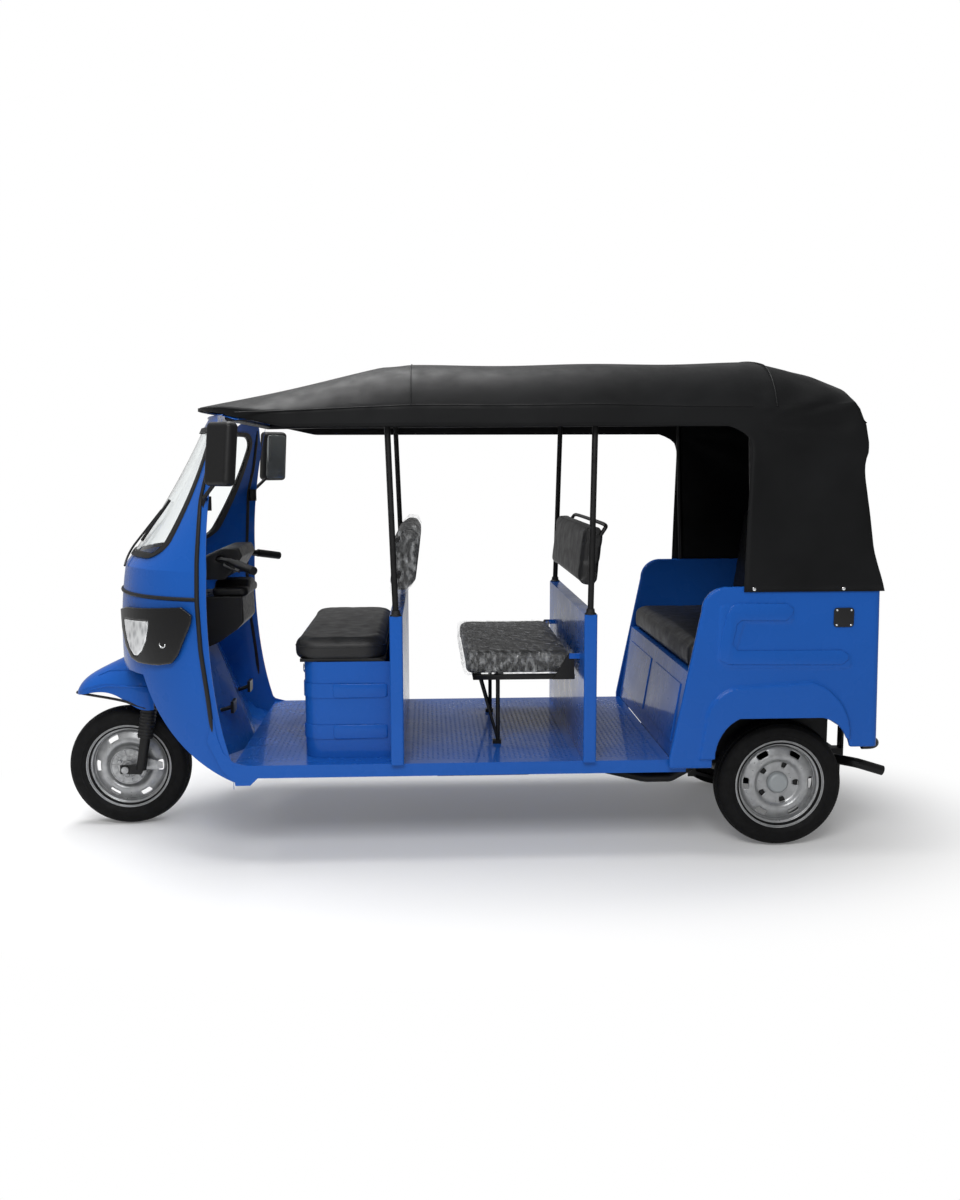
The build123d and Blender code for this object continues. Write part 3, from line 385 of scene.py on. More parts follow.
def roof_point(across, station):
    """A point of the stretched cover, with its slack between two bows."""
    for low, high in zip(roof_bows, roof_bows[1:]):
        if station <= high[0]:
            share = (station - low[0]) / (high[0] - low[0])
            (x0, z0), (x1, z1) = bow_point(low, abs(across)), bow_point(high, abs(across))
            span = high[0] - low[0]
            slack = roof_sag * min(1.0, span / 500) * math.sin(math.pi * share) ** 2
            slack *= 0.4 + 0.6 * math.sin(math.pi * min(1.0, abs(across) * 1.1 + 0.15))
            return math.copysign(x0 + share * (x1 - x0), across), z0 + share * (z1 - z0) - max(0.0, slack)
    raise ValueError(station)


def roof_front(x):
    """Station of the rounded front edge at a distance from the middle."""
    x = abs(x)
    radius = (400 ** 2 + 79 ** 2) / (2 * 79)
    if x <= 400:
        return 337 + radius - math.sqrt(radius ** 2 - x ** 2)
    turn = math.asin(400 / radius)
    dx, dy = roof_half - 400, 708 - 416
    half_turn = math.atan2(dy, dx) - turn
    corner = math.hypot(dx, dy) / (2 * math.sin(half_turn))
    share = min(1.0, math.sin(turn) + (x - 400) / corner)
    return 416 + corner * (math.cos(turn) - math.sqrt(max(0.0, 1 - share ** 2)))


roof_across, roof_along = 64, 110
canopy_mesh = bmesh.new()
bmesh.ops.create_grid(canopy_mesh, x_segments=roof_across, y_segments=roof_along, size=1.0)
canopy_mesh.verts.ensure_lookup_table()
roof_rear = 2765.0
for vert in canopy_mesh.verts:
    across, share = vert.co.x, (vert.co.y + 1) / 2
    spread = math.copysign(abs(across) ** 0.92, across)
    flat_x = bow_point(roof_bows[1], abs(spread))[0]
    start = roof_front(flat_x)
    station = start + share * (roof_rear - start)
    x, z = roof_point(spread, station)
    vert.co = place(x, station, z)

top_border = [edge for edge in canopy_mesh.edges if edge.is_boundary]
skirt_rows = 5
skirt_hem, hood_hem = 1587.0, 1000.0
opening_edge = ((997, 2347), (1200, 2352), (1507, 2361), (1545, 2352), (1572, 2322), (1587, 2275))


def skirt_level(y):
    """Height of the lower edge of the skirts in front of the hood."""
    return along(((300, 1636), (500, 1632), (600, 1612), (715, skirt_hem), (3000, skirt_hem)), y)


row = [vert for vert in canopy_mesh.verts if vert.is_boundary]
border = {vert: vert.co.copy() for vert in row}
edges = top_border
for step in range(1, skirt_rows + 1):
    made = bmesh.ops.extrude_edge_only(canopy_mesh, edges=edges)["geom"]
    edges = [item for item in made if isinstance(item, bmesh.types.BMEdge)
             and all(v in made for v in item.verts)]
    fresh = [item for item in made if isinstance(item, bmesh.types.BMVert)]
    links = {}
    for vert in fresh:
        above = next(edge.other_vert(vert) for edge in vert.link_edges if edge.other_vert(vert) in border)
        links[vert] = border[above]
    for vert, head in links.items():
        y, z = (head.y - front_axle_y) * 1000, head.z * 1000
        lip = min(1.0, max(0.0, (y - 400) / 120))
        level = min(z - 9, skirt_level(y))
        level = z - 9 + (level - z + 9) * lip
        low = z + (level - z) * step / skirt_rows
        back = along(hood_back, low)
        station = min(y, back) if y < roof_rear - 1 else back
        vert.co = Vector((head.x, front_axle_y + station / 1000, low / 1000))
    border = {vert: links[vert] for vert in fresh}

hood_rows = 26
hood_edges = [edge for edge in edges if all(v.co.y > place(0, 2268, 0).y for v in edge.verts)]
feet = {}
for vert in {v for edge in hood_edges for v in edge.verts}:
    feet[vert] = vert.co.copy()
side_start = min(co.y for co in feet.values())
for step in range(1, hood_rows + 1):
    made = bmesh.ops.extrude_edge_only(canopy_mesh, edges=hood_edges)["geom"]
    fresh = {item for item in made if isinstance(item, bmesh.types.BMVert)}
    hood_edges = [item for item in made if isinstance(item, bmesh.types.BMEdge)
                  and all(v in fresh for v in item.verts)]
    links = {}
    for vert in fresh:
        above = next(edge.other_vert(vert) for edge in vert.link_edges if edge.other_vert(vert) in feet)
        links[vert] = feet[above]
    for vert, head in links.items():
        ease = (step / hood_rows) ** 1.25
        z = head.z * 1000 + (hood_hem - head.z * 1000) * ease
        back = front_axle_y + along(hood_back, z) / 1000
        head_back = front_axle_y + along(hood_back, head.z * 1000) / 1000
        share = min(1.0, (head.y - side_start) / (head_back - side_start))
        edge_y = front_axle_y + along(opening_edge, z) / 1000
        vert.co = Vector((head.x, edge_y + share * (back - edge_y), z / 1000))
    feet = links
bmesh.ops.recalc_face_normals(canopy_mesh, faces=canopy_mesh.faces[:])
if sum(face.normal.z * face.calc_area() for face in canopy_mesh.faces) < 0:
    bmesh.ops.reverse_faces(canopy_mesh, faces=canopy_mesh.faces[:])
corner_edges = [edge for edge in canopy_mesh.edges if len(edge.link_faces) == 2
                and edge.calc_face_angle() > 0.6]
eased(canopy_mesh, corner_edges, 0.009, 3)
# slack in the side walls, and soft folds that run down from the last bow
for vert in canopy_mesh.verts:
    y, z = (vert.co.y - front_axle_y) * 1000, vert.co.z * 1000
    if abs(vert.co.x) > 0.59 and 2380 < y < 2760 and z < 1600:
        centre = math.sin(math.pi * (y - 2380) / 380) * math.sin(math.pi * min(1, (1620 - z) / 620))
        fold = 1.6 * math.sin((y - 2380 + (1600 - z) * 0.45) / 34) * centre
        vert.co.x -= math.copysign((4.5 * centre + fold) / 1000, vert.co.x)
# the cover sags between the raked rear bows, whose lines meet at the corner of the opening
canopy_mesh.normal_update()
bow_lines = [math.radians(turn) for turn in (96, 52, 21, 11, -8, -34, -100)]
for vert in canopy_mesh.verts:
    y, z = (vert.co.y - front_axle_y) * 1000 - 2361, vert.co.z * 1000 - 1587
    if y > 20 and abs(vert.co.x) > 0.30 and vert.co.y < place(0, 2838, 0).y:
        angle, far = math.atan2(z, y), math.hypot(y, z)
        for upper, lower in zip(bow_lines, bow_lines[1:]):
            if lower < angle <= upper:
                wave = math.sin(math.pi * (angle - lower) / (upper - lower)) ** 2
                depth = 9.0 * wave * min(1.0, far / 330) * min(1.0, (abs(vert.co.x) - 0.30) / 0.2)
                depth *= min(1.0, max(0.0, (vert.co.z - 1.03) / 0.15))
                depth *= min(1.0, max(0.0, (2740 - 2361 - y) / 60)) if z > -110 else 1.0
                vert.co -= vert.normal * depth / 1000
canopy_area = sum(face.calc_area() for face in canopy_mesh.faces)
cover = show("canopy_cover", canopy_mesh, black_vinyl_cloth, crease=50)
cloth = cover.modifiers.new("cloth_thickness", "SOLIDIFY")
cloth.thickness, cloth.offset = 0.0025, -1
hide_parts("canopy")


def on_cover(across, station):
    """A point of the stretched cover, as a place for its seams."""
    x, z = roof_point(across, station)
    return place(x, station, z)


piping_stations = [560 + 1800 * step / 40 for step in range(41)]
cross_seams = (1164, 2448)
canopy_seams = {f"edge_{side}": [on_cover(side, station) for station in piping_stations] for side in (1, -1)}
for station in cross_seams:
    canopy_seams[f"cross_{station}"] = [on_cover(-1 + 2 * step / 60, station) for step in range(61)]


# ---- cab trim -----------------------------------------------------------------------
# Black rubber beads are pressed over the edges of the two doorways, along the joint across
# the nose and round the lower edge of the beak. Each follows the sheet that it grips.
def surface(*names):
    """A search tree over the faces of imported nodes."""
    places, faces = [], []
    for name in names:
        mesh = nodes[name].data
        start = len(places)
        places += [vert.co.copy() for vert in mesh.vertices]
        faces += [[index + start for index in face.vertices] for face in mesh.polygons]
    return BVHTree.FromPolygons(places, faces)


def bead(name, points, radius, finish, body="body", closed=False, taper=False):
    """A round bead or rod along a smooth line of points, in metres."""
    curve = bpy.data.curves.new(name, "CURVE")
    curve.dimensions = "3D"
    curve.bevel_depth, curve.bevel_resolution, curve.resolution_u = radius, 3, 4
    curve.use_fill_caps = True
    line = curve.splines.new("NURBS")
    line.points.add(len(points) - 1)
    for knot, point in zip(line.points, points):
        knot.co = (*point, 1)
    line.order_u = 3
    line.use_endpoint_u, line.use_cyclic_u = not closed, closed
    if taper:
        line.points[0].radius = line.points[-1].radius = 0.35
    spare = bpy.data.objects.new("spare", curve)
    mesh = bpy.data.meshes.new_from_object(spare)
    bpy.data.objects.remove(spare)
    bpy.data.curves.remove(curve)
    bm = bmesh.new()
    bm.from_mesh(mesh)
    bpy.data.meshes.remove(mesh)
    bmesh.ops.recalc_face_normals(bm, faces=bm.faces[:])
    return show(name, bm, finish, body, crease=50)


trim_rubber = new_finish("trim_rubber", "black_rubber", (0.0075, 0.0075, 0.008), 0.5, Specular_IOR_Level=0.3)
vary(trim_rubber, "Roughness", noise(trim_rubber, 80.0), 0.42, 0.62)
relief(trim_rubber, noise(trim_rubber, 800.0, 1.0), 0.0001)
cab_surface = surface("cab_shell")
doorway_edge = ((474, 1602), (446, 1439), (419, 1334), (404, 1121), (400, 978), (408, 798), (430, 615),
                (445, 452))
for label, side in (("left", 1), ("right", -1)):
    line = []
    for (y0, z0), (y1, z1) in zip(doorway_edge, doorway_edge[1:]):
        for step in range(4):
            y, z = y0 + (y1 - y0) * step / 4, z0 + (z1 - z0) * step / 4
            hit = cab_surface.ray_cast(place(side * 900, y, z), Vector((-side, 0, 0)))[0]
            if hit:
                line.append(hit + Vector((side * 0.0015, 0, 0)))
    bead("doorway_bead_" + label, line, 0.0085, trim_rubber, taper=True)

belt_level, belt_turns = 982.0, 46
belt = []
for step in range(belt_turns + 1):
    turn = math.radians(-91 + 182 * step / belt_turns)
    outward = Vector((math.sin(turn), -math.cos(turn), 0))
    hit = cab_surface.ray_cast(place(0, 392, belt_level) + outward * 2, -outward)[0]
    if hit:
        belt.append(hit + outward * 0.001)
bead("belt_bead", belt, 0.0072, trim_rubber)

beak_surface = surface("front_mudguard")
beak_edge = ((150, 500), (106, 503), (60, 518), (20, 533), (-19, 545), (-48, 549), (-78, 550), (-115, 548),
             (-145, 545))
beak_left, beak_right = [], []
for y, z in beak_edge:
    for side, line in ((1, beak_left), (-1, beak_right)):
        hit = beak_surface.ray_cast(place(side * 600, y, z + 7), Vector((-side, 0, 0)))[0]
        if hit:
            line.append(hit + Vector((side * 0.001, 0, -0.004)))
beak_tip = []
for step in range(-3, 4):
    hit = beak_surface.ray_cast(place(step * 14, -500, 552), Vector((0, 1, 0)))[0]
    if hit:
        beak_tip.append(hit + Vector((0, -0.001, -0.004)))
bead("beak_bead", beak_left + beak_tip[::-1] + beak_right[::-1], 0.0052, trim_rubber, taper=True)

seam_radius = 0.0026
for name, line in canopy_seams.items():
    bead("canopy_seam_" + name, line, seam_radius, black_vinyl_cloth)
# two pressed ribs along each side of the beak, and the wiper over the glass
for side in (1, -1):
    for label, rib in (("upper", ((-100, 623), (-48, 645), (31, 655), (108, 655))),
                       ("lower", ((-132, 567), (-62, 587), (36, 593), (130, 592)))):
        line = []
        for (y0, z0), (y1, z1) in zip(rib, rib[1:]):
            for step in range(5):
                hit = beak_surface.ray_cast(place(side * 600, y0 + (y1 - y0) * step / 5,
                                                  z0 + (z1 - z0) * step / 5),
                                            Vector((-side, 0, 0)))[0]
                if hit:
                    line.append(hit)
        bead(f"beak_rib_{label}_{side + 1}", line, 0.0042, blue_paint, taper=True)
bead("wiper_arm", [place(*point)
                   for point in ((239, 70, 1078), (170, 64, 1118), (232, 146, 1204), (297, 230, 1290))],
     0.0042, trim_rubber)
bead("wiper_blade", [place(*point)
                     for point in ((286, 150, 1176), (292, 196, 1240), (297, 236, 1290), (300, 262, 1327))],
     0.0055, trim_rubber)

# the pressed header under the front of the roof, with its stiffening ribs
header = bmesh.new()
bmesh.ops.create_grid(header, x_segments=72, y_segments=26, size=1.0)
header_front, header_back, header_half = 392.0, 668.0, 548.0
for vert in header.verts:
    x, station = vert.co.x * header_half, header_front + (vert.co.y + 1) / 2 * (header_back - header_front)
    station = max(station, roof_front(x) + 16)
    turned_down = max(0.0, abs(vert.co.x) - 0.9) / 0.1
    spread = abs(x) / roof_half
    z = roof_point(min(1.0, spread), min(station, 2700))[1] - 16 - 20 * turned_down
    z -= 5.0 * max(0.0, math.sin(x / 62.0)) ** 2 * (1 - turned_down)
    vert.co = place(x, station, z)
header_panel = show("roof_header", header, blue_paint, crease=40)
header_sheet = header_panel.modifiers.new("sheet", "SOLIDIFY")
header_sheet.thickness, header_sheet.offset = 0.0015, 0


# ---- headlamps ------------------------------------------------------------------------
# A gloss black plastic mask on each side of the nose carries a clear faceted lens. A small
# chromed screw ring at its side holds the aim of the lamp.
# the lens is a grey half-metal, lighter and darker facet by facet: painted glints of the reflector behind the
# clear glass; the same cells also give the facets' relief
lamp_glass = new_finish("lamp_glass", "lamp_glass", (0.62, 0.64, 0.65), 0.12, Metallic=0.45, Coat_Weight=0.8,
                        Coat_Roughness=0.03)
lamp_facets_and_glints = noise(lamp_glass, 42.0, 0.0, (1, 1, 0.6), kind="ShaderNodeTexVoronoi")
vary(lamp_glass, "Base Color", lamp_facets_and_glints, (0.36, 0.37, 0.38), (0.82, 0.83, 0.84), 0.05, 0.6)
relief(lamp_glass, lamp_facets_and_glints, 0.0012)
bright_plate = new_finish("bright_plate", "cast_metal", (0.75, 0.76, 0.77), 0.16, Metallic=1.0)
vary(bright_plate, "Roughness", noise(bright_plate, 90.0), 0.12, 0.26)
gloss_black = new_finish("gloss_black", "gloss_black", (0.004, 0.004, 0.0043), 0.16, Specular_IOR_Level=0.2,
                         Coat_Weight=0.5, Coat_Roughness=0.03, Coat_IOR=1.4)
vary(gloss_black, "Roughness", noise(gloss_black, 25.0), 0.10, 0.2)
softened("headlamp_mask", "headlamp_bezels", 0.0034, 5, gloss_black)
softened("headlamp_lens", "headlamp_lenses", 0.0034, 4, lamp_glass)
mask_surface = surface("headlamp_bezels", "cab_shell")
for label, side in (("left", 1), ("right", -1)):
    ring = []
    for step in range(15):
        turn = math.radians(150 + 230 * step / 14)
        spot, normal, _, _ = mask_surface.find_nearest(place(517 * side, 267 + 15 * math.cos(turn),
                                                             818 + 11 * math.sin(turn)))
        ring.append(spot + normal * 0.001)
    bead("aim_ring_" + label, ring, 0.0022, bright_plate, taper=True)


# ---- small finishes -----------------------------------------------------------------
# The frame and roof bows are enamelled black, the trim is moulded rubber or plastic, and
# the hub, engine and lock are bare cast or plated metal.
frame_enamel = new_finish("frame_enamel", "frame_black", (0.005, 0.005, 0.0053), 0.34,
                          Specular_IOR_Level=0.25)
vary(frame_enamel, "Roughness", noise(frame_enamel, 30.0), 0.3, 0.5)
relief(frame_enamel, noise(frame_enamel, 300.0, 1.0), 0.0001)
dress(frame_enamel, "chassis_frame", "rear_axle", "leaf_springs", "exhaust", "canopy_frame", "pedals",
      "rear_bumper", "fork", "folding_leg")
moulded_black = new_finish("moulded_black", "black_plastic", (0.006, 0.006, 0.0063), 0.44,
                           Specular_IOR_Level=0.25)
vary(moulded_black, "Roughness", noise(moulded_black, 60.0), 0.38, 0.56)
relief(moulded_black, noise(moulded_black, 700.0, 1.0), 0.00012)
dress(moulded_black, "mirrors", "handlebar", "rear_deck")
softened("column_cover", "dash_console", 0.005, 6, moulded_black)
softened("instrument_cowl", "handlebar_cowl", 0.0045, 8, moulded_black, "steering")
dress(trim_rubber, "windscreen_seal")
cast_alloy = new_finish("cast_alloy", "cast_metal", (0.36, 0.365, 0.37), 0.42, Metallic=0.7)
vary(cast_alloy, "Base Color", noise(cast_alloy, 60.0), (0.26, 0.265, 0.27), (0.46, 0.465, 0.47))
vary(cast_alloy, "Roughness", noise(cast_alloy, 110.0), 0.34, 0.55)
relief(cast_alloy, noise(cast_alloy, 400.0, 3.0), 0.0003)
dress(cast_alloy, "engine", "front_axle")
red_lens = new_finish("red_lens", "red_plastic", (0.35, 0.008, 0.006), 0.2, Specular_IOR_Level=0.5,
                      Coat_Weight=0.4)
relief(red_lens, noise(red_lens, 240.0, 0.0, kind="ShaderNodeTexVoronoi"), 0.0006)
dress(red_lens, "tail_lamps")
clear_glass = new_finish("windscreen_glass", "clear_glass", (0.96, 0.98, 0.98), 0.02, Transmission_Weight=1.0,
                         IOR=1.12)
vary(clear_glass, "Roughness", noise(clear_glass, 7.0), 0.01, 0.04)
dress(clear_glass, "windscreen_glass")


def rounded_block(low, high, upright=0.05, edge=0.016):
    """A block between two corners with rounded upright corners and softened edges."""
    bm = bmesh.new()
    bmesh.ops.create_cube(bm, size=1.0)
    size, centre = high - low, (high + low) / 2
    bmesh.ops.scale(bm, vec=size, verts=bm.verts[:])
    bmesh.ops.translate(bm, vec=centre, verts=bm.verts[:])
    posts = [line for line in bm.edges if abs((line.verts[0].co - line.verts[1].co).normalized().z) > 0.9]
    eased(bm, posts, upright, 6)
    rims = [line for line in bm.edges if len(line.link_faces) == 2 and line.calc_face_angle() > 1.2]
    eased(bm, rims, edge, 3)
    return bm


# the switch block and key ring between the column cover and the instruments
switch_block = rounded_block(place(-138, 372, 943), place(138, 512, 1002), 0.03, 0.014)
# its ends slope down, so that the cowl clears them when it is steered
slope_start, slope_end, slope_drop = 0.050, 0.078, 0.022
for cut in (-slope_end, -slope_start, slope_start, slope_end):
    bmesh.ops.bisect_plane(switch_block,
                           geom=switch_block.verts[:] + switch_block.edges[:] + switch_block.faces[:],
                           plane_co=(cut, 0, 0), plane_no=(1, 0, 0))
for vert in switch_block.verts:
    if vert.co.z > place(0, 0, 970).z:
        vert.co.z -= slope_drop * min(1.0, max(0.0, (abs(vert.co.x) - slope_start) / (slope_end - slope_start)))
show("switch_block", switch_block, moulded_black, crease=35)


# ---- tread plate floor ------------------------------------------------------------------
# The floor is one blue-painted tread plate with small raised bars, set crosswise in turn,
# inside a plain border. It stays bare where the seat box and the partitions stand.
tread_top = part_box("floor_pan")[1].z
tread_pitch, bar_length, bar_width, bar_height = 19.0, 17.0, 6.0, 0.9
tread_areas = ((-505, 505, 540, 742), (-505, 505, 1146, 1756), (-505, 505, 1846, 2076))
bare_feet = ((-275, 1476), (275, 1476))
tread_mesh = bmesh.new()
for x0, x1, y0, y1 in tread_areas:
    columns, rows = int((x1 - x0) / tread_pitch), int((y1 - y0) / tread_pitch)
    for column in range(columns):
        for row_number in range(rows):
            x = x0 + (column + 0.5) * (x1 - x0) / columns
            y = y0 + (row_number + 0.5) * (y1 - y0) / rows
            if any(abs(x - foot_x) < 32 and abs(y - foot_y) < 42 for foot_x, foot_y in bare_feet):
                continue
            turn = math.radians(45 if (column + row_number) % 2 else -45)
            along_bar = Vector((math.cos(turn), math.sin(turn), 0)) * bar_length / 2000
            over_bar = Vector((-math.sin(turn), math.cos(turn), 0)) * bar_width / 2000
            foot = place(x, y, 0)
            foot.z = tread_top - 0.0001
            tips = [tread_mesh.verts.new(foot + offset)
                    for offset in (along_bar, over_bar, -along_bar, -over_bar)]
            ridge = [tread_mesh.verts.new(foot + offset * 0.45 + Vector((0, 0, bar_height / 1000 + 0.0001)))
                     for offset in (along_bar, over_bar, -along_bar, -over_bar)]
            tread_mesh.faces.new(ridge)
            for a in range(4):
                b = (a + 1) % 4
                tread_mesh.faces.new((tips[a], tips[b], ridge[b], ridge[a]))
# the bars get a darker copy of the plate's blue: painted shade that sets them off from the plate
tread_shaded_paint = new_finish("tread_shaded_paint", "body_blue", (0.012, 0.075, 0.30), 0.22, Specular_IOR_Level=0.3,
                         Coat_Weight=0.3, Coat_Roughness=0.05)
vary(tread_shaded_paint, "Base Color", noise(tread_shaded_paint, 12.0), (0.009, 0.070, 0.30), (0.012, 0.088, 0.37))
vary(tread_shaded_paint, "Roughness", noise(tread_shaded_paint, 30.0), 0.2, 0.38)
show("tread_bars", tread_mesh, tread_shaded_paint, crease=12)


# ---- padded seats ---------------------------------------------------------------------
# Foam pads under black vinyl: two benches with welted edges, the driver's lid, and two
# backrests. The middle seat and the driver's backrest are still in clear wrapping film.
seat_vinyl = new_finish("seat_vinyl", "black_vinyl", (0.013, 0.013, 0.0135), 0.46, Specular_IOR_Level=0.3)
vary(seat_vinyl, "Base Color", noise(seat_vinyl, 5.0), (0.010, 0.010, 0.0105), (0.017, 0.017, 0.0175))
vary(seat_vinyl, "Roughness", noise(seat_vinyl, 22.0), 0.4, 0.55)
relief(seat_vinyl, noise(seat_vinyl, 620.0, 0.0, kind="ShaderNodeTexVoronoi"), 0.00025)
relief(seat_vinyl, noise(seat_vinyl, 5.0, 1.0), 0.0005, 0.4)


stuffing_pressure, stuffing_frames = 4, 14


def stuffed(name, bm, body, keep, voxel=0.009, swell=0.012, finer_levels=1):
    """Fills a closed shape as a foam pad: it is meshed evenly, swollen as cloth and eased back."""
    mesh = bpy.data.meshes.new(name)
    bm.to_mesh(mesh)
    bm.free()
    pad = bpy.data.objects.new(name, mesh)
    bpy.context.scene.collection.objects.link(pad)
    even = pad.modifiers.new("even", "REMESH")
    even.mode, even.voxel_size = "VOXEL", voxel
    graph = bpy.context.evaluated_depsgraph_get()
    pad.data = bpy.data.meshes.new_from_object(pad.evaluated_get(graph))
    pad.modifiers.clear()
    rest = [vert.co.copy() for vert in pad.data.vertices]
    cloth = pad.modifiers.new("swell", "CLOTH")
    cloth.settings.use_pressure = True
    cloth.settings.uniform_pressure_force = stuffing_pressure
    cloth.settings.quality = 4
    cloth.settings.effector_weights.gravity = 0
    cloth.settings.tension_stiffness = cloth.settings.compression_stiffness = 12
    cloth.settings.bending_stiffness = 0.4
    for frame_number in range(1, stuffing_frames + 1):
        bpy.context.scene.frame_set(frame_number)
    graph = bpy.context.evaluated_depsgraph_get()
    swollen = [vert.co.copy() for vert in pad.evaluated_get(graph).data.vertices]
    pad.modifiers.clear()
    bpy.context.scene.frame_set(1)
    low, high = keep
    for vert, start, end in zip(pad.data.vertices, rest, swollen):
        move = end - start
        if move.length > swell:
            move *= swell / move.length
        spot = start + move
        vert.co = Vector(min(max(value, least), most) for value, least, most in zip(spot, low, high))
    bm = bmesh.new()
    bm.from_mesh(pad.data)
    bmesh.ops.smooth_vert(bm, verts=bm.verts[:], factor=0.5, use_axis_x=True, use_axis_y=True,
                          use_axis_z=True)
    spare = pad.data
    bpy.data.objects.remove(pad)
    bpy.data.meshes.remove(spare)
    pad = show(name, bm, seat_vinyl, body, crease=80)
    if finer_levels:
        finer = pad.modifiers.new("finer", "SUBSURF")
        finer.levels = finer.render_levels = finer_levels
    return pad


def tree_of(piece):
    return BVHTree.FromPolygons([v.co.copy() for v in piece.data.vertices],
                                [list(face.vertices) for face in piece.data.polygons])


def welt(name, pad, centre, across, upward, body, radius=0.0021, stops=200):
    """A thin welt round a pad, in the plane of two directions through a centre."""
    tree, line = tree_of(pad), []
    for step in range(stops):
        turn = 2 * math.pi * step / stops
        outward = across * math.cos(turn) + upward * math.sin(turn)
        hit = tree.ray_cast(centre + outward * 1.5, -outward)[0]
        if hit:
            line.append(hit + outward.normalized() * 0.0003)
    return bead(name, line, radius, seat_vinyl, body, closed=True)


def grown(low, high, sides):
    """The space a pad may fill: its packed box, with slack on its free sides."""
    return low - Vector(sides[:3]) / 1000, high + Vector(sides[3:]) / 1000


# the driver's seat is a low pad on a board, hinged at the front of the box
lid_low, lid_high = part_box("driver_cushion")
pad_low = Vector((lid_low.x + 0.004, lid_low.y + 0.004, place(0, 0, 741).z))
pad_high = Vector((lid_high.x - 0.004, lid_high.y - 0.004, lid_high.z - 0.006))
driver_pad = rounded_block(pad_low, pad_high, 0.085, 0.024)
driver_pad = stuffed("driver_pad", driver_pad, "driver_seat", grown(pad_low, lid_high, (6, 4, 0, 6, 0, 2)),
                     swell=0.010)
welt("driver_pad_welt", driver_pad,
     Vector(((pad_low.x + pad_high.x) / 2, (pad_low.y + pad_high.y) / 2, pad_high.z - 0.026)),
     Vector((1, 0, 0)), Vector((0, 1, 0)), "driver_seat")
board = merged("driver_cushion")
board_top, board_middle = place(0, 0, 749).z, (lid_low + lid_high) / 2
bmesh.ops.bisect_plane(board, geom=board.verts[:] + board.edges[:] + board.faces[:],
                       plane_co=(0, 0, board_top), plane_no=(0, 0, 1), clear_outer=True)
bmesh.ops.holes_fill(board, edges=[line for line in board.edges if line.is_boundary])
for vert in board.verts:
    if vert.co.y > board_middle.y or abs(vert.co.x) > 0.44:
        # the board ends inside the pad that is drawn down round it
        vert.co.x -= math.copysign(0.012, vert.co.x)
        vert.co.y -= math.copysign(0.012, vert.co.y - board_middle.y)
lid_board = show("driver_lid_board", board, trim_rubber, "driver_seat", crease=30)
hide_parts("driver_cushion")

# rear bench and its back
bench_low, bench_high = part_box("bench_cushion")
bench = stuffed("bench_pad", rounded_block(bench_low + Vector((0.006, 0.006, 0)),
                                           bench_high - Vector((0.006, 0.004, 0.010)), 0.03, 0.026), "body",
                grown(bench_low, bench_high, (0, 4, 0, 0, 0, 0)), voxel=0.011, finer_levels=0)
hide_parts("bench_cushion")
welt("bench_welt", bench, Vector((0, (bench_low.y + bench_high.y) / 2, bench_high.z - 0.018)),
     Vector((1, 0, 0)), Vector((0, 1, 0)), "body")


def leaning(node, inset):
    """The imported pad's shape, drawn in a little, as a start for stuffing."""
    bm = merged(node)
    low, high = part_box(node)
    for vert in bm.verts:
        for axis in range(3):
            half = (high[axis] - low[axis]) / 2
            middle = (high[axis] + low[axis]) / 2
            vert.co[axis] = middle + (vert.co[axis] - middle) * (half - inset) / half
    return bm


for name, node, voxel, levels in (("bench_back_pad", "bench_backrest", 0.011, 0),
                                  ("mid_back_pad", "mid_backrest", 0.008, 1),
                                  ("front_back_pad", "front_backrest", 0.008, 1)):
    low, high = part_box(node)
    pad = stuffed(name, leaning(node, 0.005), "body", grown(low, high, (0, 0, 0, 0, 0, 0)), voxel=voxel,
                  swell=0.009, finer_levels=levels)
    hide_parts(node)


# ---- middle seat ------------------------------------------------------------------------
# A foam pad on a folding steel frame, still in its clear wrapping: the film is drawn over
# the pad in sharp folds and hangs loose below it.
fold_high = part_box("folding_seat")[1]
fold_frame = merged("folding_seat")
pad_verts, checked = [], set()
for start in fold_frame.verts:
    if start in checked:
        continue
    shell, waiting = [], [start]
    checked.add(start)
    while waiting:
        vert = waiting.pop()
        shell.append(vert)
        for line in vert.link_edges:
            other = line.other_vert(vert)
            if other not in checked:
                checked.add(other)
                waiting.append(other)
    if max(vert.co.z for vert in shell) > fold_high.z - 0.004:
        pad_verts = shell
fold_pad_low = Vector([min(vert.co[axis] for vert in pad_verts) for axis in range(3)])
fold_pad_high = Vector([max(vert.co[axis] for vert in pad_verts) for axis in range(3)])
bmesh.ops.delete(fold_frame, geom=pad_verts, context="VERTS")
fold_steel = show("folding_seat_frame", fold_frame, frame_enamel, "folding_seat", crease=30)
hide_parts("folding_seat")
middle_low = fold_pad_low + Vector((0.008, 0.008, 0.002))
middle_high = fold_pad_high - Vector((0.008, 0.006, 0.010))
stuffed("middle_pad", rounded_block(middle_low, middle_high, 0.035, 0.018), "folding_seat",
        grown(fold_pad_low, fold_pad_high, (-3, -3, -1, -3, -3, -3)), swell=0.008, finer_levels=0)
# the film is white, opaque in stretched streaks and nearly clear between them: painted glints of light on the
# clear wrapping
wrapping_film = new_finish("wrapping_film", "clear_glass", (0.82, 0.84, 0.85), 0.14, Specular_IOR_Level=0.8)
vary(wrapping_film, "Alpha", noise(wrapping_film, 26.0, 8.0, (0.7, 2.4, 1.2)), 0.04, 0.42, 0.46, 0.80)
relief(wrapping_film, noise(wrapping_film, 20.0, 5.0, (0.8, 2.6, 1.4)), 0.010)


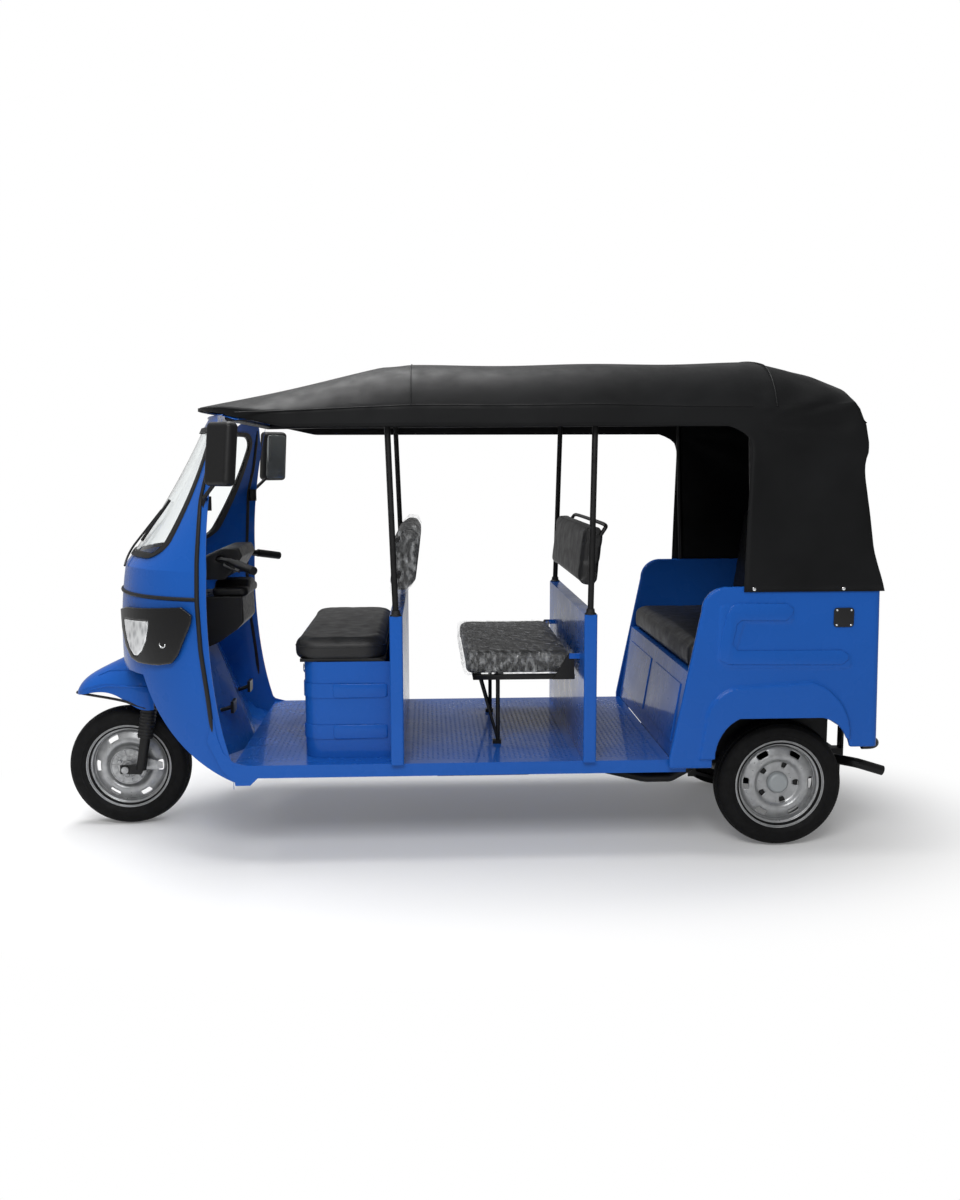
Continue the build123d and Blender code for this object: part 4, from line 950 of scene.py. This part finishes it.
def wrapped(low, high, hang, seed):
    """Clear film round a pad: an even shell with sharp folds, its lower rim hanging loose."""
    bm = evenly_meshed(rounded_block(low, high, 0.03, 0.014), 0.0075)
    folds = random.Random(seed)
    creases = [(folds.uniform(-0.5, 0.5), folds.uniform(-1.1, 1.1), folds.uniform(30, 75),
                folds.uniform(0, 6.28))
               for _ in range(9)]
    middle = (low + high) / 2
    for vert in bm.verts:
        x, y, z = vert.co - middle
        ripple = 0.0
        for offset, lean, pitch, phase in creases:
            wave = math.sin((x * (1 + lean * 0.3) + y * lean + z * 0.8) * pitch + phase)
            ripple += (1 - abs(wave)) ** 4 * 0.3
        out = vert.normal.copy() if vert.normal.length else Vector((0, 0, 1))
        vert.co += out * 0.0035 * ripple
        if vert.co.z < low.z + 0.02:
            drop = 0.5 + 0.5 * math.sin(x * 37 + y * 29) * math.cos(x * 11 - y * 51)
            vert.co.z -= hang * drop
    return bm


film_slack, film_hang, film_folds = Vector((0.004, 0.004, 0.0)), 0.012, 4
film_top = Vector((0.004, 0.004, 0.006))
show("middle_film", wrapped(middle_low - film_slack, middle_high + film_top, film_hang, film_folds),
     wrapping_film, "folding_seat", crease=30)
show("front_back_film", leaning("front_backrest", -0.0015), wrapping_film, crease=25)


# ---- wheels and tyres ---------------------------------------------------------------
# Three pressed steel wheels, 12 inches across, in silver lacquer: a rolled rim and a dished
# disc with six oval slots. The tubed tyres have blocks across the tread and plain walls.
silver_lacquer = new_finish("silver_lacquer", "wheel_silver", (0.33, 0.335, 0.34), 0.32, Metallic=0.55,
                            Specular_IOR_Level=0.4)
vary(silver_lacquer, "Base Color", noise(silver_lacquer, 40.0), (0.28, 0.285, 0.29), (0.38, 0.385, 0.39))
vary(silver_lacquer, "Roughness", noise(silver_lacquer, 90.0), 0.27, 0.45)
relief(silver_lacquer, noise(silver_lacquer, 500.0, 1.0), 0.0001)
tyre_rubber = new_finish("tyre_rubber", "tyre_black", (0.0035, 0.0035, 0.0037), 0.6, Specular_IOR_Level=0.14)
vary(tyre_rubber, "Base Color", noise(tyre_rubber, 18.0), (0.0028, 0.0028, 0.003), (0.0055, 0.0055, 0.0058))
vary(tyre_rubber, "Roughness", noise(tyre_rubber, 60.0), 0.52, 0.72)
relief(tyre_rubber, noise(tyre_rubber, 900.0, 1.0), 0.00015)
grey_cap = new_finish("grey_hub_cap", "cast_metal", (0.30, 0.32, 0.33), 0.5, Metallic=0.25)
vary(grey_cap, "Roughness", noise(grey_cap, 120.0), 0.42, 0.6)
relief(grey_cap, noise(grey_cap, 300.0, 2.0), 0.0002)


def turned(bm, outline, centre, steps, closed=True):
    """Turns an outline of (x, radius) points, in millimetres, about an axle along X."""
    points = [bm.verts.new(centre + Vector((x / 1000, 0, r / 1000))) for x, r in outline]
    pairs = list(zip(points, points[1:] + points[:1])) if closed else list(zip(points, points[1:]))
    lines = [bm.edges.new(pair) for pair in pairs]
    bmesh.ops.spin(bm, geom=points + lines, cent=centre, axis=(1, 0, 0), dvec=(0, 0, 0), angle=2 * math.pi,
                   steps=steps, use_merge=True, use_duplicate=False)
    bmesh.ops.remove_doubles(bm, verts=bm.verts[:], dist=1e-6)
    bmesh.ops.recalc_face_normals(bm, faces=bm.faces[:])
    return bm


def add_mesh(bm, other):
    """Moves the faces of another bmesh into this one."""
    spare = bpy.data.meshes.new("spare")
    other.to_mesh(spare)
    other.free()
    bm.from_mesh(spare)
    bpy.data.meshes.remove(spare)


# half of the tyre's section from bead to crown, with two raised rings on the wall
tyre_wall = ((-41, 156), (-41.2, 166), (-43.5, 171), (-47.5, 177), (-50.2, 184), (-51.4, 187), (-52.2, 188),
             (-52.4, 190), (-51.9, 191.5), (-52.8, 198), (-52.9, 206), (-52.3, 213), (-51.2, 218.5),
             (-51.2, 220.0), (-49.9, 222), (-48.4, 226), (-46.3, 229.0), (-43.6, 231.2))
tread_ribs = ((-43.4, 231.4), (-27.5, 237.2), (-26.5, 234.3), (-24.0, 234.7), (-23.0, 238.2), (-9.5, 240.7),
              (-8.6, 237.6), (-6.4, 237.8), (-5.5, 241.1))
tyre_half = tyre_wall + tread_ribs
tyre_outline = tyre_half + tuple((-x, r) for x, r in reversed(tyre_half))
tread_pitches, block_height = 120, 0.0017
block_radius, block_width = 0.2305, 0.0085
# the disc and rim of a wheel, from the hub to the flange, seen from outside
rim_outline = ((13.5, 20), (13.5, 46), (14, 76), (15.5, 80), (19, 84), (25, 89), (29, 93.5), (30.8, 98),
               (31.2, 104), (30.6, 110), (28.8, 116), (26.8, 120.5), (20.0, 135.5), (16.0, 140.5),
               (11, 143.2), (9, 144.8), (9.3, 146.6), (12, 147.8), (24, 148.4), (27, 149.2), (28.4, 151.2),
               (28.8, 154.2), (30.2, 156.2), (36, 157.2), (39, 158.0), (40.8, 160.0), (41.2, 163.5),
               (42.0, 166.5), (43.4, 168.2), (43.9, 168.4), (43.9, 168.2), (43.0, 167.4))
slot_turns = [math.radians(30 + 60 * k) for k in range(6)]
stud_turns = [math.radians(20 + 72 * k) for k in range(5)]


def tyre_mesh(centre):
    bm = turned(bmesh.new(), tyre_outline, centre, tread_pitches)
    blocks = []
    for face in bm.faces:
        middle = face.calc_center_median() - centre
        wide = max(v.co.x for v in face.verts) - min(v.co.x for v in face.verts)
        if math.hypot(middle.y, middle.z) > block_radius and wide > block_width:
            blocks.append(face)
    bmesh.ops.inset_individual(bm, faces=blocks, thickness=0.0012, depth=block_height, use_even_offset=True)
    return bm


def cut_windows(bm, centre, turns, inner, outer, half_turn, corner):
    """Opens rounded windows in the turned disc at the given angles."""
    doomed = []
    for face in bm.faces:
        middle = face.calc_center_median() - centre
        radius, angle = math.hypot(middle.y, middle.z), math.atan2(middle.y, middle.z)
        near = any(abs((angle - turn + math.pi) % (2 * math.pi) - math.pi) < half_turn for turn in turns)
        if near and inner < radius < outer:
            doomed.append(face)
    rim_verts = {v for face in doomed for v in face.verts}
    bmesh.ops.delete(bm, geom=doomed, context="FACES")
    corners = []
    for vert in rim_verts:
        if vert.is_valid and vert.is_boundary:
            lines = [edge for edge in vert.link_edges if edge.is_boundary]
            if len(lines) == 2:
                a, b = [(edge.other_vert(vert).co - vert.co).normalized() for edge in lines]
                if abs(a.dot(b)) < 0.6:
                    corners.append(vert)
    eased(bm, corners, corner, 3, "VERTICES")


def rim_mesh(centre, side, studs):
    outline = []
    for (x0, r0), (x1, r1) in zip(rim_outline, rim_outline[1:]):
        outline.append((x0, r0))
        if (r0, r1) == (46, 76):
            outline += [(x0, 52), (x0, 60), (x0, 68)]
        if (r0, r1) == (120.5, 135.5):
            outline += [(x0 + (x1 - x0) * 0.5, 128)]
    outline.append(rim_outline[-1])
    bm = turned(bmesh.new(), outline, centre, 144, closed=False)
    cut_windows(bm, centre, slot_turns, 0.1165, 0.1355, math.radians(11.2), 0.0065)
    if studs:
        cut_windows(bm, centre, stud_turns, 0.060, 0.080, math.radians(8.6), 0.0078)
    if sum(face.normal.x * face.calc_area() for face in bm.faces) < 0:
        bmesh.ops.reverse_faces(bm, faces=bm.faces[:])
    if side < 0:
        bmesh.ops.scale(bm, vec=(-1, 1, 1), space=Matrix.Translation(-centre), verts=bm.verts[:])
        bmesh.ops.reverse_faces(bm, faces=bm.faces[:])
    return bm


def fit_wheel(name, tyre_node, wheel_node, body, side, studs):
    low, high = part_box(tyre_node)
    centre = (low + high) / 2
    tyre = show(name + "_tyre", tyre_mesh(centre), tyre_rubber, body, crease=24)
    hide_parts(tyre_node)
    rim = show(name + "_rim", rim_mesh(centre, side, studs), silver_lacquer, body, crease=40)
    sheet = rim.modifiers.new("sheet", "SOLIDIFY")
    sheet.thickness, sheet.offset = 0.0028, -1
    barrel = turned(bmesh.new(), [(-9 * side, 145), (9 * side, 145), (9 * side, 143.5), (-12 * side, 143.5),
                                  (-34 * side, 150), (-40 * side, 153), (-43 * side, 160),
                                  (-43.9 * side, 168.4), (-41 * side, 168.4), (-39 * side, 156),
                                  (-30 * side, 153)], centre, 96)
    show(name + "_barrel", barrel, silver_lacquer, body, crease=40)
    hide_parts(wheel_node)
    return centre


front_centre = fit_wheel("front", "front_tyre", "front_wheel", "front_wheel", 1, False)
for label, side in (("left", 1), ("right", -1)):
    centre = fit_wheel("rear_" + label, "rear_tyre_" + label, "rear_wheel_" + label, "rear_wheel_" + label,
                       side, True)
    drum = turned(bmesh.new(), [(-34 * side, 16), (-34 * side, 80), (-30 * side, 82), (6 * side, 82),
                                (9 * side, 79), (9 * side, 16)], centre, 72)
    show("rear_drum_" + label, drum, frame_enamel, "rear_wheel_" + label, crease=40)
    cap = turned(bmesh.new(), [(14 * side, 0.01), (14 * side, 40), (17 * side, 41.5), (26 * side, 39),
                               (31 * side, 35.5), (33.4 * side, 31), (33.9 * side, 27), (33.9 * side, 0.01)],
                 centre, 64)
    show("hub_cap_" + label, cap, grey_cap, "rear_wheel_" + label, crease=30)

# the front wheel's hub is a plain casting with a rolled collar between disc and drum
hub = turned(bmesh.new(), [(-34, 15), (-34, 38), (-31, 40), (-20, 40), (-20, 68), (-18, 70), (36, 70),
                           (38, 68), (38, 64), (30, 63), (30, 34), (35.5, 32), (35.5, 15)], front_centre, 72)
show("front_hub", hub, silver_lacquer, "front_wheel", crease=35)


# ---- fork and front brake ------------------------------------------------------------------
# Ribbed rubber gaiters cover the fork's springs. The cast brake plate is held still beside
# the hub, and its lever arm reaches back from it.
leg_foot, leg_head = Vector((62.0, 243.0)), Vector((116.0, 585.0))
leg_line = (place(0, leg_head.x, leg_head.y) - place(0, leg_foot.x, leg_foot.y)).normalized()
rib_count, gaiter_low, gaiter_length = 11, 376.0, 146.0
ribs = []
for rib in range(rib_count):
    start = rib * gaiter_length / rib_count
    ribs += [(start, 26.5), (start + 3.0, 30.2), (start + 7.5, 32.4), (start + 10.5, 30.4)]
for label, side in (("left", 1), ("right", -1)):
    gaiter = turned(bmesh.new(), [(0, 20.2)] + ribs + [(gaiter_length, 25), (149, 24), (149, 20.2)],
                    Vector((0, 0, 0)), 40)
    turn = Vector((1, 0, 0)).rotation_difference(leg_line).to_matrix()
    bmesh.ops.rotate(gaiter, cent=(0, 0, 0), matrix=turn, verts=gaiter.verts[:])
    share = (gaiter_low - leg_foot.y) / (leg_head.y - leg_foot.y)
    foot = place(side * 92, leg_foot.x + share * (leg_head.x - leg_foot.x), gaiter_low)
    bmesh.ops.translate(gaiter, vec=foot, verts=gaiter.verts[:])
    show("fork_gaiter_" + label, gaiter, trim_rubber, "steering", crease=60)

plate = turned(bmesh.new(), [(43.9, 15), (43.9, 73), (46.2, 73.6), (47.6, 72.6), (47.8, 69.8), (46, 68),
                             (45.6, 52), (47, 49), (49, 48), (49.5, 44), (47, 42), (47, 28), (54, 24),
                             (56, 22), (56, 15)],
               front_centre, 72)
for rib in range(10):
    bar = rounded_block(Vector((-0.0016, -0.0022, 0.026)), Vector((0.0016, 0.0022, 0.068)), 0.0008, 0.0006)
    put(bar, front_centre + Vector((0.0474, 0, 0)), (36 * rib + 12, "X"))
    add_mesh(plate, bar)
for turn, radius in ((25, 36), (150, 40), (262, 34)):
    boss = turned(bmesh.new(), [(45, 0.01), (45, 9), (52, 8), (54, 6.5), (54, 0.01)], Vector((0, 0, 0)), 24)
    spot = Vector((0, math.cos(math.radians(turn)), math.sin(math.radians(turn)))) * radius / 1000
    put(boss, front_centre + spot)
    add_mesh(plate, boss)
show("brake_plate", plate, cast_alloy, "steering", crease=32)

arm_outline = ((30, 262), (60, 282), (96, 276), (139, 263), (140, 238), (98, 233), (60, 238), (32, 246))
arm = slab([place(57, y, z) for y, z in arm_outline], 0.005)
eased(arm, arm.edges[:], 0.0012, 2)
show("brake_arm", arm, cast_alloy, "steering", crease=32)


# ---- rear body ----------------------------------------------------------------------------
# The sides of the rear body are pressed from one sheet each, so the wheel arch and the
# raised band run into the panel with soft shoulders. A small cap covers the filler.
for label in ("left", "right"):
    softened("rear_quarter_" + label, "rear_side_" + label, 0.0048, 3, blue_paint)

cap_low, cap_high = place(0, 2680, 868), place(0, 2750, 942)
cap = rounded_block(Vector((-0.035, -0.037, 0)), Vector((0.035, 0.037, 0.006)), 0.012, 0.0025)
put(cap, Vector((0.5895, (cap_low.y + cap_high.y) / 2, (cap_low.z + cap_high.z) / 2)), (90, "Y"))
show("filler_cap", cap, trim_rubber, crease=30)
for dy, dz in ((-26, -27), (26, -27), (-26, 27), (26, 27)):
    screw = turned(bmesh.new(), [(0, 0.01), (0, 3.6), (0.9, 3.4), (1.6, 2.2), (1.8, 0.01)], Vector((0, 0, 0)),
                   20)
    put(screw, place(595.3, 2715 + dy, 905 + dz))
    show(f"filler_screw_{dy + 27}_{dz + 28}", screw, bright_plate, crease=35)

# a curved gusset closes each doorway's lower front corner down to the edge of the floor
gusset_line = [(445, 556), (457, 483), (476, 427), (514, 390), (566, 376), (566, 333), (520, 312), (471, 360),
               (420, 468)]
for side in (1, -1):
    gusset = slab([place(side * 550.5, y, z) for y, z in gusset_line], side * 0.004)
    show(f"doorway_gusset_{side + 1}", gusset, blue_paint, crease=30)

band_outline = ((2328, 959), (2505, 958), (2530, 940), (2530, 918), (2505, 895), (2341, 897), (2326, 884),
                (2312, 812), (2330, 788), (2712, 786), (2738, 770), (2738, 752), (2712, 732), (2300, 737),
                (2266, 752), (2264, 800), (2287, 915), (2302, 948))
quarter_surface, box_surface = surface("rear_side_left", "rear_side_right"), surface("seat_box")


def pressed(name, outline, side, skin, proud, shoulder):
    """A flat band raised out of a side panel, with a sloping shoulder round it."""
    seated = [skin.ray_cast(place(side * 900, y, z), Vector((-side, 0, 0)))[0] for y, z in outline]
    bm = slab([hit + Vector((side * proud / 1000, 0, 0)) for hit in seated], -side * (proud + 1.0) / 1000)
    bm.verts.ensure_lookup_table()
    rim = set(bm.verts[:len(outline)])
    shown = [line for line in bm.edges if all(vert in rim for vert in line.verts)]
    eased(bm, shown, shoulder / 1000, 3)
    return show(name, bm, blue_paint, crease=50)


for side in (1, -1):
    pressed(f"quarter_band_{side + 1}", band_outline, side, quarter_surface, 5.0, 4.0)
    for low, high in ((450, 503), (604, 657)):
        swage = ((866, low + 9), (866, high - 9), (870, high - 2), (878, high), (1054, high),
                 (1063, high - 3), (1066, high - 10), (1066, low + 10), (1063, low + 3), (1054, low),
                 (878, low), (870, low + 2))
        pressed(f"box_swage_{low}_{side + 1}", swage, side, box_surface, 4.0, 3.5)


# ---- small fittings -------------------------------------------------------------------------
# Mirror glasses sit in the rear faces of their housings, collars close the feet of the
# poles, the lock on the box has a plated ring, and snaps hold the hem of the roof.
# the glass reflects as a mirror, and its dull grey-green matt share is a painted reflection of the surroundings
mirror_glass = new_finish("mirror_glass", "cast_metal", (0.50, 0.53, 0.52), 0.12, Metallic=0.75)
vary(mirror_glass, "Roughness", noise(mirror_glass, 12.0), 0.08, 0.16)
for label, side in (("left", 1), ("right", -1)):
    glass = rounded_block(Vector((-0.047, -0.097, -0.0012)), Vector((0.047, 0.097, 0.0012)), 0.016, 0.0006)
    put(glass, (0, 0.0262, 0), (90, "X"))
    put(glass, place(641 * side, 518, 1493), (-6, "X"), (52 * side, "Z"))
    bmesh.ops.recalc_face_normals(glass, faces=glass.faces[:])
    show("mirror_glass_" + label, glass, mirror_glass, crease=30)

pole_feet = ((560, 1103), (560, 1801), (-560, 1103), (-560, 1801))
for number, (x, y) in enumerate(pole_feet):
    collar = turned(bmesh.new(), [(0.4, 11.6), (0.4, 21), (3, 21.5), (5, 19), (8, 16), (20, 14.5), (21, 13),
                                  (21, 11.6)],
                    Vector((0, 0, 0)), 40)
    put(collar, place(x, y, 920), (-90, "Y"))
    show(f"pole_collar_{number}", collar, trim_rubber, crease=35)

# the tube along the top of the middle backrest, the clamps of the mirrors and the key switch
handle = [(-452, 1850, 1196), (-452, 1868, 1222), (-440, 1874, 1232), (-300, 1876, 1234), (300, 1876, 1234),
          (440, 1874, 1232), (452, 1868, 1222), (452, 1850, 1196)]
bead("backrest_handle", [place(*point) for point in handle], 0.0075, frame_enamel)
for side in (1, -1):
    bead(f"mirror_clamp_{side + 1}", [place(side * 516, 440, z) for z in (1296, 1310, 1330, 1346)], 0.017,
         moulded_black)
    bead(f"control_lever_{side + 1}", [place(side * x, y, z) for x, y, z in
                                       ((225, 452, 1084), (255, 440, 1082), (300, 470, 1072),
                                        (345, 520, 1058))],
         0.0048, moulded_black, "steering", taper=True)
lock = turned(bmesh.new(), [(0, 0.01), (0, 5), (-1, 6), (-1, 8), (2, 10), (3, 14.5), (0, 19), (-3, 20),
                            (-3, 0.01)],
              Vector((0, 0, 0)), 40)
put(lock, Vector((0.300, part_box("seat_box")[0].y + 0.001, 0.690)), (-90, "Z"))
bmesh.ops.recalc_face_normals(lock, faces=lock.faces[:])
show("box_lock", lock, bright_plate, crease=35)

snap_places = [(598, y, 1010) for y in (2384, 2709)]
for number, (x, y, z) in enumerate(snap_places):
    for side in (1, -1):
        snap = turned(bmesh.new(), [(-1.5, 0.01), (-1.5, 6.5), (0, 6.8), (1.6, 5.6), (2.3, 3.0), (2.4, 0.01)],
                      Vector((0, 0, 0)), 20)
        if side < 0:
            bmesh.ops.scale(snap, vec=(-1, 1, 1), verts=snap.verts[:])
            bmesh.ops.reverse_faces(snap, faces=snap.faces[:])
        put(snap, place(side * (x - 1.0), y, z))
        show(f"hem_snap_{number}_{side + 1}", snap, bright_plate, crease=35)
